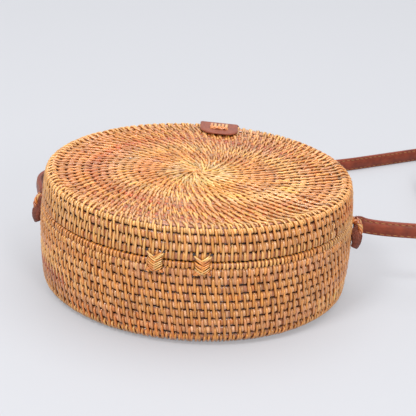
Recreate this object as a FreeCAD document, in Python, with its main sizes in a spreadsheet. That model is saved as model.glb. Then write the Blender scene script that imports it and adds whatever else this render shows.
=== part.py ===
import FreeCAD, Part
import math
import os
import re

import Sketcher

# Round shoulder bag of coiled rattan, lying on its back as it is set down on a table.
# Millimetres, +Z up, origin at the middle of the flat underside.
# The lashed hinge is at -Y, the leather clasp at +Y and the strap knots at +X and -X.

V = FreeCAD.Vector

SIZES = {
    # Woven walls: the outside is a shallow barrel, widest and thickest at belly_height.
    "belly_radius": 102,
    "belly_height": 40,
    "belly_curve": 260,
    "bag_height": 77,
    "seam_share": 0.7273,
    "seam_gap": 0.3,
    "row_share": 0.193,
    "top_share": 0.29,
    "wall": 6.5,
    "floor_thickness": 4.5,
    "foot_corner": 8,
    "base_rows": 4,
    "lid_rows": 2,
    "top_rows": 5,
    "row_bulge": 0.5,
    "row_groove": 0.8,
    # Hoop along the shoulder of the lid, one row high.
    "shoulder_width": 3.2,
    "shoulder_round": 2,
    # Cotton linings.
    "lining": 0.8,
    "lining_drop": 9,
    "lid_hem_share": 0.47,
    "clearance": 0.3,
    # Two lashings that hinge the lid.
    "lashing_bearing": 8,
    "lashing_width": 9,
    "lashing_strand": 1.5,
    "lashing_round": 1.2,
    # Leather clasp with a press stud.
    "clasp_bearing": 4,
    "clasp_width": 27,
    "clasp_leather": 2.6,
    "tab_reach": 28,
    "tab_corner": 5,
    "fold_inset": 1.3,
    "fold_round": 5.2,
    "flap_drop": 23,
    "flap_corner": 11,
    "flap_lift": 6,
    "stitch_width": 12.6,
    "stitch_length": 13,
    "stitch_strand": 1.3,
    "stitch_inset": 6.1,
    "snap_drop": 11.5,
    "snap_shank": 1.2,
    "cap_radius": 6.5,
    "cap_rise": 1.6,
    "socket_radius": 5,
    "socket_depth": 2.3,
    "stud_radius": 4.8,
    "stud_flange": 0.7,
    "stud_head": 1.9,
    "stud_rise": 1.9,
    "stud_back": 0.8,
    # Strap, its sewn-down ends and the rattan knots that hold them.
    "strap_width": 10.4,
    "strap_thickness": 4,
    "strap_drop": 9,
    "tail_front": 20,
    "tail_back": 5,
    "tail_round": 4.5,
    "knot_width": 9,
    "knot_strand": 1.2,
    "floor_clear": 0.2,
    "coil_x": 205,
    "coil_y": 214,
    "coil_bend": 21,
    "coil_pitch": 5.4,
    "coil_turn": 7,
}

# Sizes that follow from those above: the seam from the bag's height, the lid's rows from the lid,
# the clasp from the shoulder, and what hangs on the base from the seam.
FOLLOWING = {
    "seam_height": "bag_height * seam_share",
    "lid_height": "bag_height - seam_height - seam_gap",
    "rim_row": "lid_height * row_share",
    "shoulder_height": "lid_height * row_share",
    "top_thickness": "lid_height * top_share",
    "shoulder_over_belly": "bag_height - shoulder_height - belly_height",
    "shoulder_radius": "belly_radius - shoulder_over_belly^2 / (2 * belly_curve)",
    "fold_line": "shoulder_radius - fold_inset",
    "tab_front": "shoulder_radius - tab_reach",
    "stitch_front": "tab_front + stitch_inset",
    "flap_end": "seam_height - flap_drop",
    "snap_height": "seam_height - snap_drop",
    "strap_height": "seam_height - strap_drop",
}

doc = FreeCAD.newDocument("circle_bag")
sheet = doc.addObject("Spreadsheet::Sheet", "sizes")
cells = {alias: str(number) for alias, number in SIZES.items()}
cells.update({alias: "=" + rule for alias, rule in FOLLOWING.items()})
for row, (alias, text) in enumerate(cells.items(), start=1):
    sheet.set(f"A{row}", alias)
    sheet.set(f"B{row}", text)
    sheet.setAlias(f"B{row}", alias)
doc.recompute()


def bound(text):
    """An expression on the sheet's sizes, written with their bare names."""
    return re.sub(r"[a-z_]+", lambda m: "sizes." + m[0] if m[0] in cells else m[0], str(text))


def value(text):
    return float(sheet.evalExpression(bound(text)))


# Heights and radii that several pieces share, as expressions on the sheet.

RIM_FOOT = "(seam_height - rim_row)"
LID_EDGE = "(seam_height + seam_gap)"
LID_RIM_TOP = "(seam_height + seam_gap + rim_row)"
SHOULDER = "(bag_height - shoulder_height)"
LID_UNDERSIDE = "(bag_height - top_thickness)"
INSIDE = "(belly_radius - wall)"
STRAP_SEAT = "(belly_radius + row_bulge + clearance + strap_thickness / 2)"
TAB_BASE = "(bag_height + clearance)"
PIVOT_HEIGHT = f"({TAB_BASE} + clasp_leather / 2)"
STUD_SEAT = "(belly_radius + row_bulge + clearance)"
SOCKET_FACE = f"({STUD_SEAT} + stud_flange + clearance)"
FLAP_FACE = f"({SOCKET_FACE} + socket_depth)"


def outside(z):
    """Outer radius of the barrel at height z, at the foot of the rows' bulges."""
    return f"(belly_radius - ({z} - belly_height)^2 / (2 * belly_curve))"


def corner_sag(radius):
    """Sagitta of a quarter-round corner."""
    return f"({radius} * (1 - cos(45)))"


# Sketches and features.


def new_body(label):
    body = doc.addObject("PartDesign::Body", label)
    body.Label = label
    return body


def new_sketch(body, role, name):
    sketch = body.newObject("Sketcher::SketchObject", name)
    plane = next(f for f in body.Origin.OriginFeatures if f.Role == role)
    sketch.AttachmentSupport = [(plane, "")]
    sketch.MapMode = "FlatFace"
    return sketch


def tie(sketch, kind, edge, point, text):
    """Holds one point of an edge at a distance from the sketch's origin."""
    rule = Sketcher.Constraint(kind, -1, 1, edge, point, value(text))
    sketch.setExpression(f"Constraints[{sketch.addConstraint(rule)}]", bound(text))


def arc_centre(corner, following):
    """The place of an arc's centre across its chord, as the tie that fixes the arc."""
    x0, y0, sag = corner
    x1, y1 = following[:2]
    across = f"(({y1}) - ({y0}))"
    along = f"(({x1}) - ({x0}))"
    chord = f"sqrt({across}^2 + {along}^2)"
    back = f"(({sag}) / 2 - {chord}^2 / (8 * ({sag}))) / {chord}"
    if abs(value(across)) >= abs(value(along)):
        return "DistanceX", f"(({x0}) + ({x1})) / 2 + {across} * {back}"
    return "DistanceY", f"(({y0}) + ({y1})) / 2 - {along} * {back}"


def draw(sketch, corners):
    """A closed outline. Each corner is (x, y) or (x, y, sagitta of the edge that leaves it).

    A positive sagitta swells the edge to the right of the way it runs.
    """
    places = [V(value(c[0]), value(c[1]), 0) for c in corners]
    ends = []
    for i, corner in enumerate(corners):
        start = places[i]
        end = places[(i + 1) % len(corners)]
        if len(corner) == 2:
            edge = sketch.addGeometry(Part.LineSegment(start, end))
            ends.append((edge, 1, 2))
            continue
        along = end - start
        sag = value(corner[2])
        middle = (start + end) * 0.5 + V(along.y, -along.x, 0).normalize() * sag
        if sag > 0:
            edge = sketch.addGeometry(Part.Arc(start, middle, end))
            ends.append((edge, 1, 2))
        else:
            edge = sketch.addGeometry(Part.Arc(end, middle, start))
            ends.append((edge, 2, 1))
        kind, text = arc_centre(corner, corners[(i + 1) % len(corners)])
        tie(sketch, kind, edge, 3, text)
    for i, corner in enumerate(corners):
        edge, first, _ = ends[i]
        last_edge, _, last = ends[i - 1]
        sketch.addConstraint(Sketcher.Constraint("Coincident", last_edge, last, edge, first))
        tie(sketch, "DistanceX", edge, first, corner[0])
        tie(sketch, "DistanceY", edge, first, corner[1])


def turned(label, role, axis, corners):
    """A body turned from one outline about an axis of its sketch."""
    body = new_body(label)
    sketch = new_sketch(body, role, label + "_outline")
    draw(sketch, corners)
    turn = body.newObject("PartDesign::Revolution", label + "_turn")
    turn.Profile = sketch
    turn.ReferenceAxis = (sketch, [axis])
    turn.Angle = 360
    return body


def padded(label, role, thickness, outlines, from_middle=True):
    """A body padded from outlines, the first the edge and the others holes in it."""
    body = new_body(label)
    sketch = new_sketch(body, role, label + "_outline")
    for corners in outlines:
        draw(sketch, corners)
    pad = body.newObject("PartDesign::Pad", label + "_pad")
    pad.Profile = sketch
    pad.SideType = "Symmetric" if from_middle else "One side"
    pad.setExpression("Length", bound(thickness))
    return body


def box(label, low, high):
    """A block between two corners given as expressions, for a slot."""
    block = doc.addObject("Part::Box", label)
    for side, a, b in zip(("Length", "Width", "Height"), low, high):
        block.setExpression(side, bound(f"({b}) - ({a})"))
    for axis, a in zip("xyz", low):
        block.setExpression(f"Placement.Base.{axis}", bound(a))
    return block


def rod(label, radius, z, y_from, y_to):
    """A round bar along +Y at height z."""
    bar = doc.addObject("Part::Cylinder", label)
    bar.Placement = FreeCAD.Placement(V(0, 0, 0), FreeCAD.Rotation(V(1, 0, 0), -90))
    bar.setExpression("Radius", bound(radius))
    bar.setExpression("Height", bound(f"({y_to}) - ({y_from})"))
    bar.setExpression("Placement.Base.y", bound(y_from))
    bar.setExpression("Placement.Base.z", bound(z))
    return bar


def turn_about_z(shape, degrees):
    """Carries a piece that was drawn at +Y or -Y round to its bearing."""
    turn = FreeCAD.Placement(V(0, 0, 0), FreeCAD.Rotation(V(0, 0, 1), degrees))
    return turn.multiply(shape)


def cut(label, base, tools):
    tool = tools[0]
    if len(tools) > 1:
        tool = doc.addObject("Part::MultiFuse", label + "_slots")
        tool.Shapes = tools
    piece = doc.addObject("Part::Cut", label)
    piece.Label = label
    piece.Base = base
    piece.Tool = tool
    return piece


def group(label, objects, degrees):
    """One compound of shapes carried round to a bearing together."""
    holder = doc.addObject("Part::Compound", label)
    holder.Links = objects
    holder.Placement = turn_about_z(FreeCAD.Placement(), degrees)
    return holder


# Bearings about +Z, counted anticlockwise from where a piece is drawn.

CLASP_TURN = -value("clasp_bearing")
LASHING_TURNS = {"left": -value("lashing_bearing"), "right": value("lashing_bearing")}
KNOT_TURNS = {"right": 0, "left": 180}


# Woven baskets


def row_corners(low, high, count):
    """Corners up an outer wall from low to high: coil rows that swell outward, with grooves between."""
    corners = []
    for i in range(int(value(count))):
        groove = f"({low} + ({high} - {low}) * {i} / {count})"
        ridge = f"({low} + ({high} - {low}) * ({i} + 0.5) / {count})"
        depth = "row_groove" if i else "0"
        corners.append((f"{outside(groove)} - {depth}", groove))
        corners.append((f"{outside(ridge)} + row_bulge", ridge))
    return corners


def top_corners(edge):
    """Corners across the coiled top from its edge to the middle, with grooves between bands of turns."""
    depth = "(row_bulge + row_groove)"
    corners = [(edge, "bag_height")]
    for i in range(1, int(value("top_rows"))):
        groove = f"({edge} * (1 - {i} / top_rows))"
        corners.append((f"{groove} + {depth}", "bag_height"))
        corners.append((groove, f"bag_height - {depth}"))
        corners.append((f"{groove} - {depth}", "bag_height"))
    return corners


def base_basket():
    """Flat floor, rounded foot and rows of coil up to the rim row."""
    foot = f"({outside('foot_corner')} - foot_corner)"
    slope = "foot_corner * cos(45)"
    body = turned(
        "base_turned",
        "XZ_Plane",
        "V_Axis",
        [
            ("0", "0"),
            (foot, "0"),
            (f"{foot} + {slope}", f"foot_corner - {slope}"),
            *row_corners("foot_corner", RIM_FOOT, "base_rows"),
            (outside(RIM_FOOT), RIM_FOOT),
            (outside("seam_height"), "seam_height"),
            (INSIDE, "seam_height"),
            (INSIDE, "floor_thickness"),
            ("0", "floor_thickness"),
        ],
    )
    return cut("base_basket", body, [*lashing_slots("base"), *knot_slots(), stud_hole()])


def lid_basket():
    """Rim row and rows of coil, then a ledge for the shoulder hoop and the coiled top."""
    ledge = "(shoulder_radius - shoulder_width - clearance)"
    body = turned(
        "lid_turned",
        "XZ_Plane",
        "V_Axis",
        [
            (INSIDE, LID_EDGE),
            (outside(LID_EDGE), LID_EDGE),
            *row_corners(LID_RIM_TOP, SHOULDER, "lid_rows"),
            ("shoulder_radius", SHOULDER),
            (ledge, SHOULDER),
            *top_corners(ledge),
            ("0", "bag_height"),
            ("0", LID_UNDERSIDE),
            (INSIDE, LID_UNDERSIDE),
        ],
    )
    return cut("lid_basket", body, [*lashing_slots("lid"), stitch_slits()])


# Shoulder hoop


def lid_shoulder_hoop():
    inner = "(shoulder_radius - shoulder_width)"
    return turned(
        "lid_shoulder_hoop",
        "XZ_Plane",
        "V_Axis",
        [
            (inner, SHOULDER),
            ("shoulder_radius", SHOULDER),
            ("shoulder_radius", "bag_height - shoulder_round"),
            ("shoulder_radius - shoulder_round", "bag_height"),
            (inner, "bag_height"),
        ],
    )


# Linings


def base_lining():
    """Cup of cloth that ends below the hinge lashings."""
    hem = "(seam_height - lining_drop)"
    low = "(floor_thickness + clearance)"
    skin = "(clearance + lining)"
    return turned(
        "base_lining",
        "XZ_Plane",
        "V_Axis",
        [
            ("0", low),
            (f"{INSIDE} - clearance", low),
            (f"{INSIDE} - clearance", hem),
            (f"{INSIDE} - {skin}", hem),
            (f"{INSIDE} - {skin}", f"{low} + lining"),
            ("0", f"{low} + lining"),
        ],
    )


def lid_lining():
    """Shallow cap of cloth that ends above the hinge lashings."""
    hem = f"({LID_RIM_TOP} + ({LID_UNDERSIDE} - {LID_RIM_TOP}) * lid_hem_share)"
    high = f"({LID_UNDERSIDE} - clearance)"
    skin = "(clearance + lining)"
    return turned(
        "lid_lining",
        "XZ_Plane",
        "V_Axis",
        [
            (f"{INSIDE} - {skin}", hem),
            (f"{INSIDE} - clearance", hem),
            (f"{INSIDE} - clearance", high),
            ("0", high),
            ("0", f"{high} - lining"),
            (f"{INSIDE} - {skin}", f"{high} - lining"),
        ],
    )


# Hinge lashings: bands that pass round both rim rows through a slot in each basket.

LASHING_FOOT = f"({RIM_FOOT} - clearance)"
LASHING_HEAD = f"({LID_RIM_TOP} + clearance)"
LASHING_OUT = f"({outside(RIM_FOOT)} + row_bulge + clearance)"
LASHING_IN = f"({INSIDE} - clearance)"


def rounded_rectangle(left, low, right, high, radius):
    """Corners anticlockwise from the lower left, each rounded."""
    sag = corner_sag(radius)
    return [
        (f"{left} + {radius}", low),
        (f"{right} - {radius}", low, sag),
        (right, f"{low} + {radius}"),
        (right, f"{high} - {radius}", sag),
        (f"{right} - {radius}", high),
        (f"{left} + {radius}", high, sag),
        (left, f"{high} - {radius}"),
        (left, f"{low} + {radius}", sag),
    ]


def lashing_slots(half):
    """Slots through the wall, below the base's rim row or above the lid's."""
    low, high = f"({LASHING_FOOT} - lashing_strand - clearance)", RIM_FOOT
    if half == "lid":
        low, high = LID_RIM_TOP, f"({LASHING_HEAD} + lashing_strand + clearance)"
    slots = []
    for side, degrees in LASHING_TURNS.items():
        block = box(
            f"{half}_slot_{side}",
            ("-lashing_width / 2 - clearance", "-belly_radius - wall", low),
            ("lashing_width / 2 + clearance", "-belly_radius + 3 * wall", high),
        )
        slots.append(group(f"{half}_slot_{side}_turned", [block], degrees))
    return slots


def hinge_lashing(side):
    label = f"hinge_lashing_{side}"
    strand = "lashing_strand"
    band = padded(
        label,
        "YZ_Plane",
        "lashing_width",
        [
            rounded_rectangle(
                f"-{LASHING_OUT} - {strand}",
                f"{LASHING_FOOT} - {strand}",
                f"-{LASHING_IN} + {strand}",
                f"{LASHING_HEAD} + {strand}",
                "lashing_round",
            ),
            [
                (f"-{LASHING_OUT}", LASHING_FOOT),
                (f"-{LASHING_IN}", LASHING_FOOT),
                (f"-{LASHING_IN}", LASHING_HEAD),
                (f"-{LASHING_OUT}", LASHING_HEAD),
            ],
        ],
    )
    band.Placement = turn_about_z(FreeCAD.Placement(), LASHING_TURNS[side])
    return band


# Clasp: a leather tab sewn to the lid, folded over the shoulder to a press stud on the base.
# Drawn at +Y with the flap pressed home, then lifted by flap_lift and carried to its bearing.


def flap_place():
    """Where the free flap and what is riveted to it hang at rest."""
    pivot = V(0, value("fold_line"), value(PIVOT_HEIGHT))
    lift = FreeCAD.Rotation(V(1, 0, 0), value("flap_lift"))
    lifted = FreeCAD.Placement(V(0, 0, 0), lift, pivot)
    return turn_about_z(lifted, CLASP_TURN)


def stitch_legs():
    """Front and back of each leg of the stitches that hold the tab, along Y."""
    back = "(stitch_front + stitch_length)"
    return [
        ("stitch_front", "(stitch_front + stitch_strand)"),
        (f"({back} - stitch_strand)", back),
    ]


def stitch_slits():
    slits = []
    for i, (front, back) in enumerate(stitch_legs()):
        slits.append(
            box(
                f"stitch_slit_{i}",
                ("-stitch_width / 2 - clearance", f"{front} - clearance", f"{LID_UNDERSIDE} - wall"),
                ("stitch_width / 2 + clearance", f"{back} + clearance", "bag_height + wall"),
            )
        )
    return group("stitch_slits", slits, CLASP_TURN)


def clasp_tab():
    half = "clasp_width / 2"
    front = "tab_front"
    back = "(fold_line - clasp_leather / 2 - 2 * clearance)"
    holes = []
    for leg_front, leg_back in stitch_legs():
        side = "(stitch_width / 2 + clearance)"
        holes.append(
            [
                (f"-{side}", f"{leg_front} - clearance"),
                (side, f"{leg_front} - clearance"),
                (side, f"{leg_back} + clearance"),
                (f"-{side}", f"{leg_back} + clearance"),
            ]
        )
    edge = [
        (f"-{half} + tab_corner", front),
        (f"{half} - tab_corner", front, corner_sag("tab_corner")),
        (half, f"{front} + tab_corner"),
        (half, back),
        (f"-{half}", back),
        (f"-{half}", f"{front} + tab_corner", corner_sag("tab_corner")),
    ]
    tab = padded("clasp_tab", "XY_Plane", "clasp_leather", [edge, *holes], from_middle=False)
    base = FreeCAD.Placement(V(0, 0, value(TAB_BASE)), FreeCAD.Rotation())
    tab.Placement = turn_about_z(base, CLASP_TURN)
    return tab


def clasp_stitches():
    """Rattan strands over the tab, with both ends down through the leather and the lid."""
    top = f"({TAB_BASE} + clasp_leather + clearance)"
    (front, front_in), (back_in, back) = stitch_legs()
    staple = padded(
        "clasp_stitches",
        "YZ_Plane",
        "stitch_width",
        [
            [
                (front, LID_UNDERSIDE),
                (front_in, LID_UNDERSIDE),
                (front_in, top),
                (back_in, top),
                (back_in, LID_UNDERSIDE),
                (back, LID_UNDERSIDE),
                (back, top, corner_sag("stitch_strand")),
                (back_in, f"{top} + stitch_strand"),
                (front_in, f"{top} + stitch_strand", corner_sag("stitch_strand")),
                (front, top),
            ]
        ],
    )
    staple.Placement = turn_about_z(FreeCAD.Placement(), CLASP_TURN)
    return staple


def clasp_flap():
    outer = f"({FLAP_FACE} + clasp_leather)"
    top = f"({TAB_BASE} + clasp_leather)"
    inner_round = "(fold_round - clasp_leather)"
    bent = padded(
        "flap_leather",
        "YZ_Plane",
        "clasp_width",
        [
            [
                ("fold_line", TAB_BASE),
                (f"{FLAP_FACE} - {inner_round}", TAB_BASE, f"-{corner_sag(inner_round)}"),
                (FLAP_FACE, f"{TAB_BASE} - {inner_round}"),
                (FLAP_FACE, "flap_end"),
                (outer, "flap_end"),
                (outer, f"{top} - fold_round", corner_sag("fold_round")),
                (f"{outer} - fold_round", top),
                ("fold_line", top, "clasp_leather / 2"),
            ]
        ],
    )
    half = "clasp_width / 2"
    sag = corner_sag("flap_corner")
    shape = padded(
        "flap_shape",
        "XZ_Plane",
        f"4 * {outer}",
        [
            [
                (f"-{half} + flap_corner", "flap_end"),
                (f"{half} - flap_corner", "flap_end", sag),
                (half, "flap_end + flap_corner"),
                (half, f"{top} + clasp_leather"),
                (f"-{half}", f"{top} + clasp_leather"),
                (f"-{half}", "flap_end + flap_corner", sag),
            ]
        ],
    )
    leather = doc.addObject("Part::Common", "flap_cut_out")
    leather.Base = bent
    leather.Tool = shape
    hole = rod("flap_hole", "snap_shank + clearance", "snap_height", FLAP_FACE, outer)
    flap = cut("clasp_flap", leather, [hole])
    flap.Placement = flap_place()
    return flap


def snap_cap():
    """Domed cap on the outside of the flap, its shank through the leather."""
    outer = f"({FLAP_FACE} + clasp_leather)"
    cap = turned(
        "snap_cap",
        "YZ_Plane",
        "H_Axis",
        [
            (FLAP_FACE, "0"),
            (f"{outer} + cap_rise", "0"),
            (f"{outer} + cap_rise", "cap_radius * 0.6"),
            (outer, "cap_radius"),
            (outer, "snap_shank"),
            (FLAP_FACE, "snap_shank"),
        ],
    )
    cap.Placement = flap_place().multiply(snap_centre())
    return cap


def snap_socket():
    """Ring on the inside of the flap that closes over the stud's head."""
    socket = turned(
        "snap_socket",
        "YZ_Plane",
        "H_Axis",
        [
            (FLAP_FACE, "0"),
            (FLAP_FACE, "socket_radius"),
            (SOCKET_FACE, "socket_radius"),
            (SOCKET_FACE, "stud_head + clearance"),
            (f"{SOCKET_FACE} + stud_rise", "stud_head + clearance"),
            (f"{SOCKET_FACE} + stud_rise", "0"),
        ],
    )
    socket.Placement = flap_place().multiply(snap_centre())
    return socket


def snap_centre():
    return FreeCAD.Placement(V(0, 0, value("snap_height")), FreeCAD.Rotation())


STUD_BACK_SEAT = f"({INSIDE} + stud_back + clearance)"


def snap_stud():
    """Flanged stud with a straight head, its shank through the woven wall."""
    face = f"({STUD_SEAT} + stud_flange)"
    stud = turned(
        "snap_stud",
        "YZ_Plane",
        "H_Axis",
        [
            (STUD_BACK_SEAT, "0"),
            (f"{face} + stud_rise", "0"),
            (f"{face} + stud_rise", "stud_head"),
            (face, "stud_head"),
            (face, "stud_radius"),
            (STUD_SEAT, "stud_radius"),
            (STUD_SEAT, "snap_shank"),
            (STUD_BACK_SEAT, "snap_shank"),
        ],
    )
    stud.Placement = turn_about_z(snap_centre(), CLASP_TURN)
    return stud


def snap_stud_back():
    """Washer let into the inside of the wall, behind the lining, that the shank is closed on."""
    front = f"({STUD_BACK_SEAT} - stud_back)"
    washer = turned(
        "snap_stud_back",
        "YZ_Plane",
        "H_Axis",
        [
            (front, "0"),
            (STUD_BACK_SEAT, "0"),
            (STUD_BACK_SEAT, "stud_radius"),
            (front, "stud_radius - stud_back / 2"),
        ],
    )
    washer.Placement = turn_about_z(snap_centre(), CLASP_TURN)
    return washer


def stud_hole():
    through = rod(
        "stud_through_hole", "snap_shank + clearance", "snap_height", STUD_BACK_SEAT, "belly_radius + wall"
    )
    seat = rod(
        "stud_back_seat",
        "stud_radius + clearance",
        "snap_height",
        f"{INSIDE} - wall",
        STUD_BACK_SEAT,
    )
    return group("stud_hole", [through, seat], CLASP_TURN)


# Strap knots: rattan bands over the strap's ends, with both legs through the wall.

KNOT_OVER = f"({STRAP_SEAT} + strap_thickness / 2 + clearance)"


def knot_legs():
    """Foot and head of the lower and the upper leg."""
    reach = "(strap_width / 2 + clearance)"
    return [
        (f"(strap_height - {reach} - knot_strand)", f"(strap_height - {reach})"),
        (f"(strap_height + {reach})", f"(strap_height + {reach} + knot_strand)"),
    ]


def knot_slots():
    slots = []
    for side, degrees in KNOT_TURNS.items():
        blocks = []
        for i, (low, high) in enumerate(knot_legs()):
            blocks.append(
                box(
                    f"knot_slot_{side}_{i}",
                    (f"{INSIDE} - wall", "-knot_width / 2 - clearance", f"{low} - clearance"),
                    ("belly_radius + wall", "knot_width / 2 + clearance", f"{high} + clearance"),
                )
            )
        slots.append(group(f"knot_slots_{side}", blocks, degrees))
    return slots


def strap_knot(side):
    (low, low_in), (high_in, high) = knot_legs()
    root = f"({INSIDE} + clearance)"
    over = f"({KNOT_OVER} + knot_strand)"
    sag = corner_sag("knot_strand")
    band = padded(
        f"strap_knot_{side}",
        "XZ_Plane",
        "knot_width",
        [
            [
                (root, low),
                (KNOT_OVER, low, sag),
                (over, low_in),
                (over, high_in, sag),
                (KNOT_OVER, high),
                (root, high),
                (root, high_in),
                (KNOT_OVER, high_in),
                (KNOT_OVER, low_in),
                (root, low_in),
            ]
        ],
    )
    band.Placement = turn_about_z(FreeCAD.Placement(), KNOT_TURNS[side])
    return band


def strap_tail(side):
    """End of the strap that lies along the wall under its knot, tip to the front."""
    half = "strap_width / 2"
    tail = padded(
        f"strap_tail_{side}",
        "YZ_Plane",
        "strap_thickness",
        [
            [
                ("-tail_front + tail_round", f"strap_height - {half}"),
                ("tail_back", f"strap_height - {half}"),
                ("tail_back", f"strap_height + {half}"),
                ("-tail_front + tail_round", f"strap_height + {half}", corner_sag("tail_round")),
                ("-tail_front", f"strap_height + {half} - tail_round"),
                ("-tail_front", f"strap_height - {half} + tail_round", corner_sag("tail_round")),
            ]
        ],
    )
    sign = "-" if side == "left" else ""
    tail.setExpression("Placement.Base.x", bound(f"{sign}{STRAP_SEAT}"))
    return tail


# Free strap: on edge all the way, from the left knot round behind the bag, over the table
# to a coil, and up again to the right knot.

ON_TABLE = value("strap_width / 2 + floor_clear")
KNOT_LEVEL = value("strap_height")
EXIT_Y = value("tail_back + 2.5 * clearance")
LEFT_EXIT = V(-value(STRAP_SEAT), EXIT_Y, KNOT_LEVEL)
RIGHT_EXIT = V(value(STRAP_SEAT), EXIT_Y, KNOT_LEVEL)


def coil_bends():
    """Centre line of the coil as half turns: (start, middle, end) of each, from end to end.

    Two equal half turns meet in the middle as an S, and each end then winds on round the other.
    """
    bend = value("coil_bend")
    pitch = value("coil_pitch")
    centre = V(value("coil_x"), value("coil_y"), ON_TABLE)
    axis = math.radians(value("coil_turn"))
    along = V(math.cos(axis), math.sin(axis), 0)
    across = V(-math.sin(axis), math.cos(axis), 0)
    arm = []
    start = 0
    for end, side in ((2 * bend, 1), (-2 * bend - pitch, -1)):
        middle = along * ((start + end) / 2) + across * (side * -abs(end - start) / 2)
        arm.append((along * start, middle, along * end))
        start = end
    other = [tuple(p * -1 for p in reversed(half)) for half in reversed(arm)]
    return [tuple(p + centre for p in half) for half in other + arm]


COIL = coil_bends()
COIL_IN = COIL[0][0]
COIL_OUT = COIL[-1][2]

# The last run before the coil lies along the coil's own heading there.

BACK_ROUTE = [
    LEFT_EXIT,
    V(-109, 18.5, 46.8),
    V(-114.5, 38, 45),
    V(-112, 66, 40.5),
    V(-100, 102, 32),
    V(-79, 138, 21.5),
    V(-48, 170, 12.5),
    V(-8, 193, 7.4),
    V(44, 212, ON_TABLE),
    V(90, 234, ON_TABLE),
    V(127, 260, ON_TABLE),
    V(162, 285, ON_TABLE),
    V(194, 303, ON_TABLE),
    V(224, 299, ON_TABLE),
    V(242, 281, ON_TABLE),
    V(247.2, 258.5, ON_TABLE),
]

FRONT_ROUTE = [
    RIGHT_EXIT,
    V(105.4, 9.8, 46.7),
    V(110.8, 12.2, 43.8),
    V(127, 12.4, 43),
    V(148, 13.6, 43),
    V(171, 24, 39.5),
    V(184, 48, 32.5),
    V(184, 84, 22.5),
    V(175.5, 127, 12.5),
    V(163.6, 171.5, 6.6),
]


def rounded_path(points):
    """Straight runs joined by tangent arcs, each as large as its two runs allow."""
    edges = []
    radii = []
    here = points[0]
    for before, corner, after in zip(points, points[1:], points[2:]):
        back = before - corner
        on = after - corner
        reach = 0.45 * min(back.Length, on.Length)
        turn = math.pi - back.getAngle(on)
        radii.append(round(reach / math.tan(turn / 2), 1))
        first = corner + back.normalize() * reach
        last = corner + on.normalize() * reach
        half = (back + on).normalize()
        middle = corner + half * (reach / math.tan(turn / 2) * (1 / math.cos(turn / 2) - 1))
        edges.append(Part.LineSegment(here, first).toShape())
        edges.append(Part.Arc(first, middle, last).toShape())
        here = last
    edges.append(Part.LineSegment(here, points[-1]).toShape())
    return Part.Wire(edges), radii


def strap_section(place, heading):
    """Upright rectangle across the strap at one end of its path."""
    side = V(-heading.y, heading.x, 0).normalize() * (value("strap_thickness") / 2)
    rise = V(0, 0, value("strap_width") / 2)
    corners = [place + side - rise, place + side + rise, place - side + rise, place - side - rise]
    return Part.makePolygon(corners + corners[:1])


def strap_along(label, path):
    """Strap on edge along a path, kept upright."""
    first = path.OrderedEdges[0]
    heading = first.tangentAt(first.FirstParameter)
    start = first.valueAt(first.FirstParameter)
    shell = Part.BRepOffsetAPI.MakePipeShell(path)
    shell.setBiNormalMode(V(0, 0, 1))
    shell.add(strap_section(start, heading))
    shell.build()
    shell.makeSolid()
    piece = doc.addObject("Part::Feature", label)
    piece.Label = label
    piece.Shape = shell.shape()
    piece.Placement = FreeCAD.Placement()
    section = value("strap_width * strap_thickness")
    share = piece.Shape.Volume / (section * path.Length)
    print(f"{label}: {path.Length:.0f} mm long, volume {share:.3f} of section times length")
    return piece


def strap_coil():
    edges = [Part.Arc(*half).toShape() for half in COIL]
    path = Part.Wire(edges)
    spots = path.discretize(Distance=2)
    near = min(
        a.distanceToPoint(b)
        for i, a in enumerate(spots)
        for b in spots[i + 12 :]
    )
    print(f"strap_coil: least gap to itself {near - value('strap_thickness'):.2f} mm")
    return strap_along("strap_coil", path)


def strap_run(label, points):
    path, radii = rounded_path(points)
    print(f"{label}: radii {radii}")
    return strap_along(label, path)


pieces = [
    base_basket(),
    base_lining(),
    lid_basket(),
    lid_shoulder_hoop(),
    lid_lining(),
    hinge_lashing("left"),
    hinge_lashing("right"),
    clasp_tab(),
    clasp_stitches(),
    clasp_flap(),
    snap_cap(),
    snap_socket(),
    snap_stud(),
    snap_stud_back(),
    strap_knot("left"),
    strap_knot("right"),
    strap_tail("left"),
    strap_tail("right"),
    strap_coil(),
    strap_run("strap_back_run", BACK_ROUTE + [COIL_IN]),
    strap_run("strap_front_run", FRONT_ROUTE + [COIL_OUT]),
]

doc.recompute()
for item in doc.Objects:
    if "Invalid" in item.State or "Error" in item.State:
        raise RuntimeError(f"{item.Label} failed: {item.State}")
for piece in pieces:
    if piece.Shape.isNull() or not piece.Shape.isValid():
        raise RuntimeError(f"{piece.Label} has no valid shape")

os.makedirs("parts", exist_ok=True)
for piece in pieces:
    piece.Shape.exportStep(f"parts/{piece.Label}.step")
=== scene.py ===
import math

import bpy
import numpy as np
from mathutils import Matrix, Vector


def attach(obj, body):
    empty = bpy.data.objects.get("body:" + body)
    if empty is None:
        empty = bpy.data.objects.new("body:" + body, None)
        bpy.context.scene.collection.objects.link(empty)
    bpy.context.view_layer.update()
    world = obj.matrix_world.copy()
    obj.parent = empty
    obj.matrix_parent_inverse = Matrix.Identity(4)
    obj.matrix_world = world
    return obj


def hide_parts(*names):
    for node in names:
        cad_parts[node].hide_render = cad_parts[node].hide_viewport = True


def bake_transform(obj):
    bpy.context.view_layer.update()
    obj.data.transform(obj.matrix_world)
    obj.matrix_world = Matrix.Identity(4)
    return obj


# Round shoulder bag of coiled rattan, laid on its back on a pale table.
# Shapes are worked out in millimetres and become metres when a mesh is made.

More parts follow.
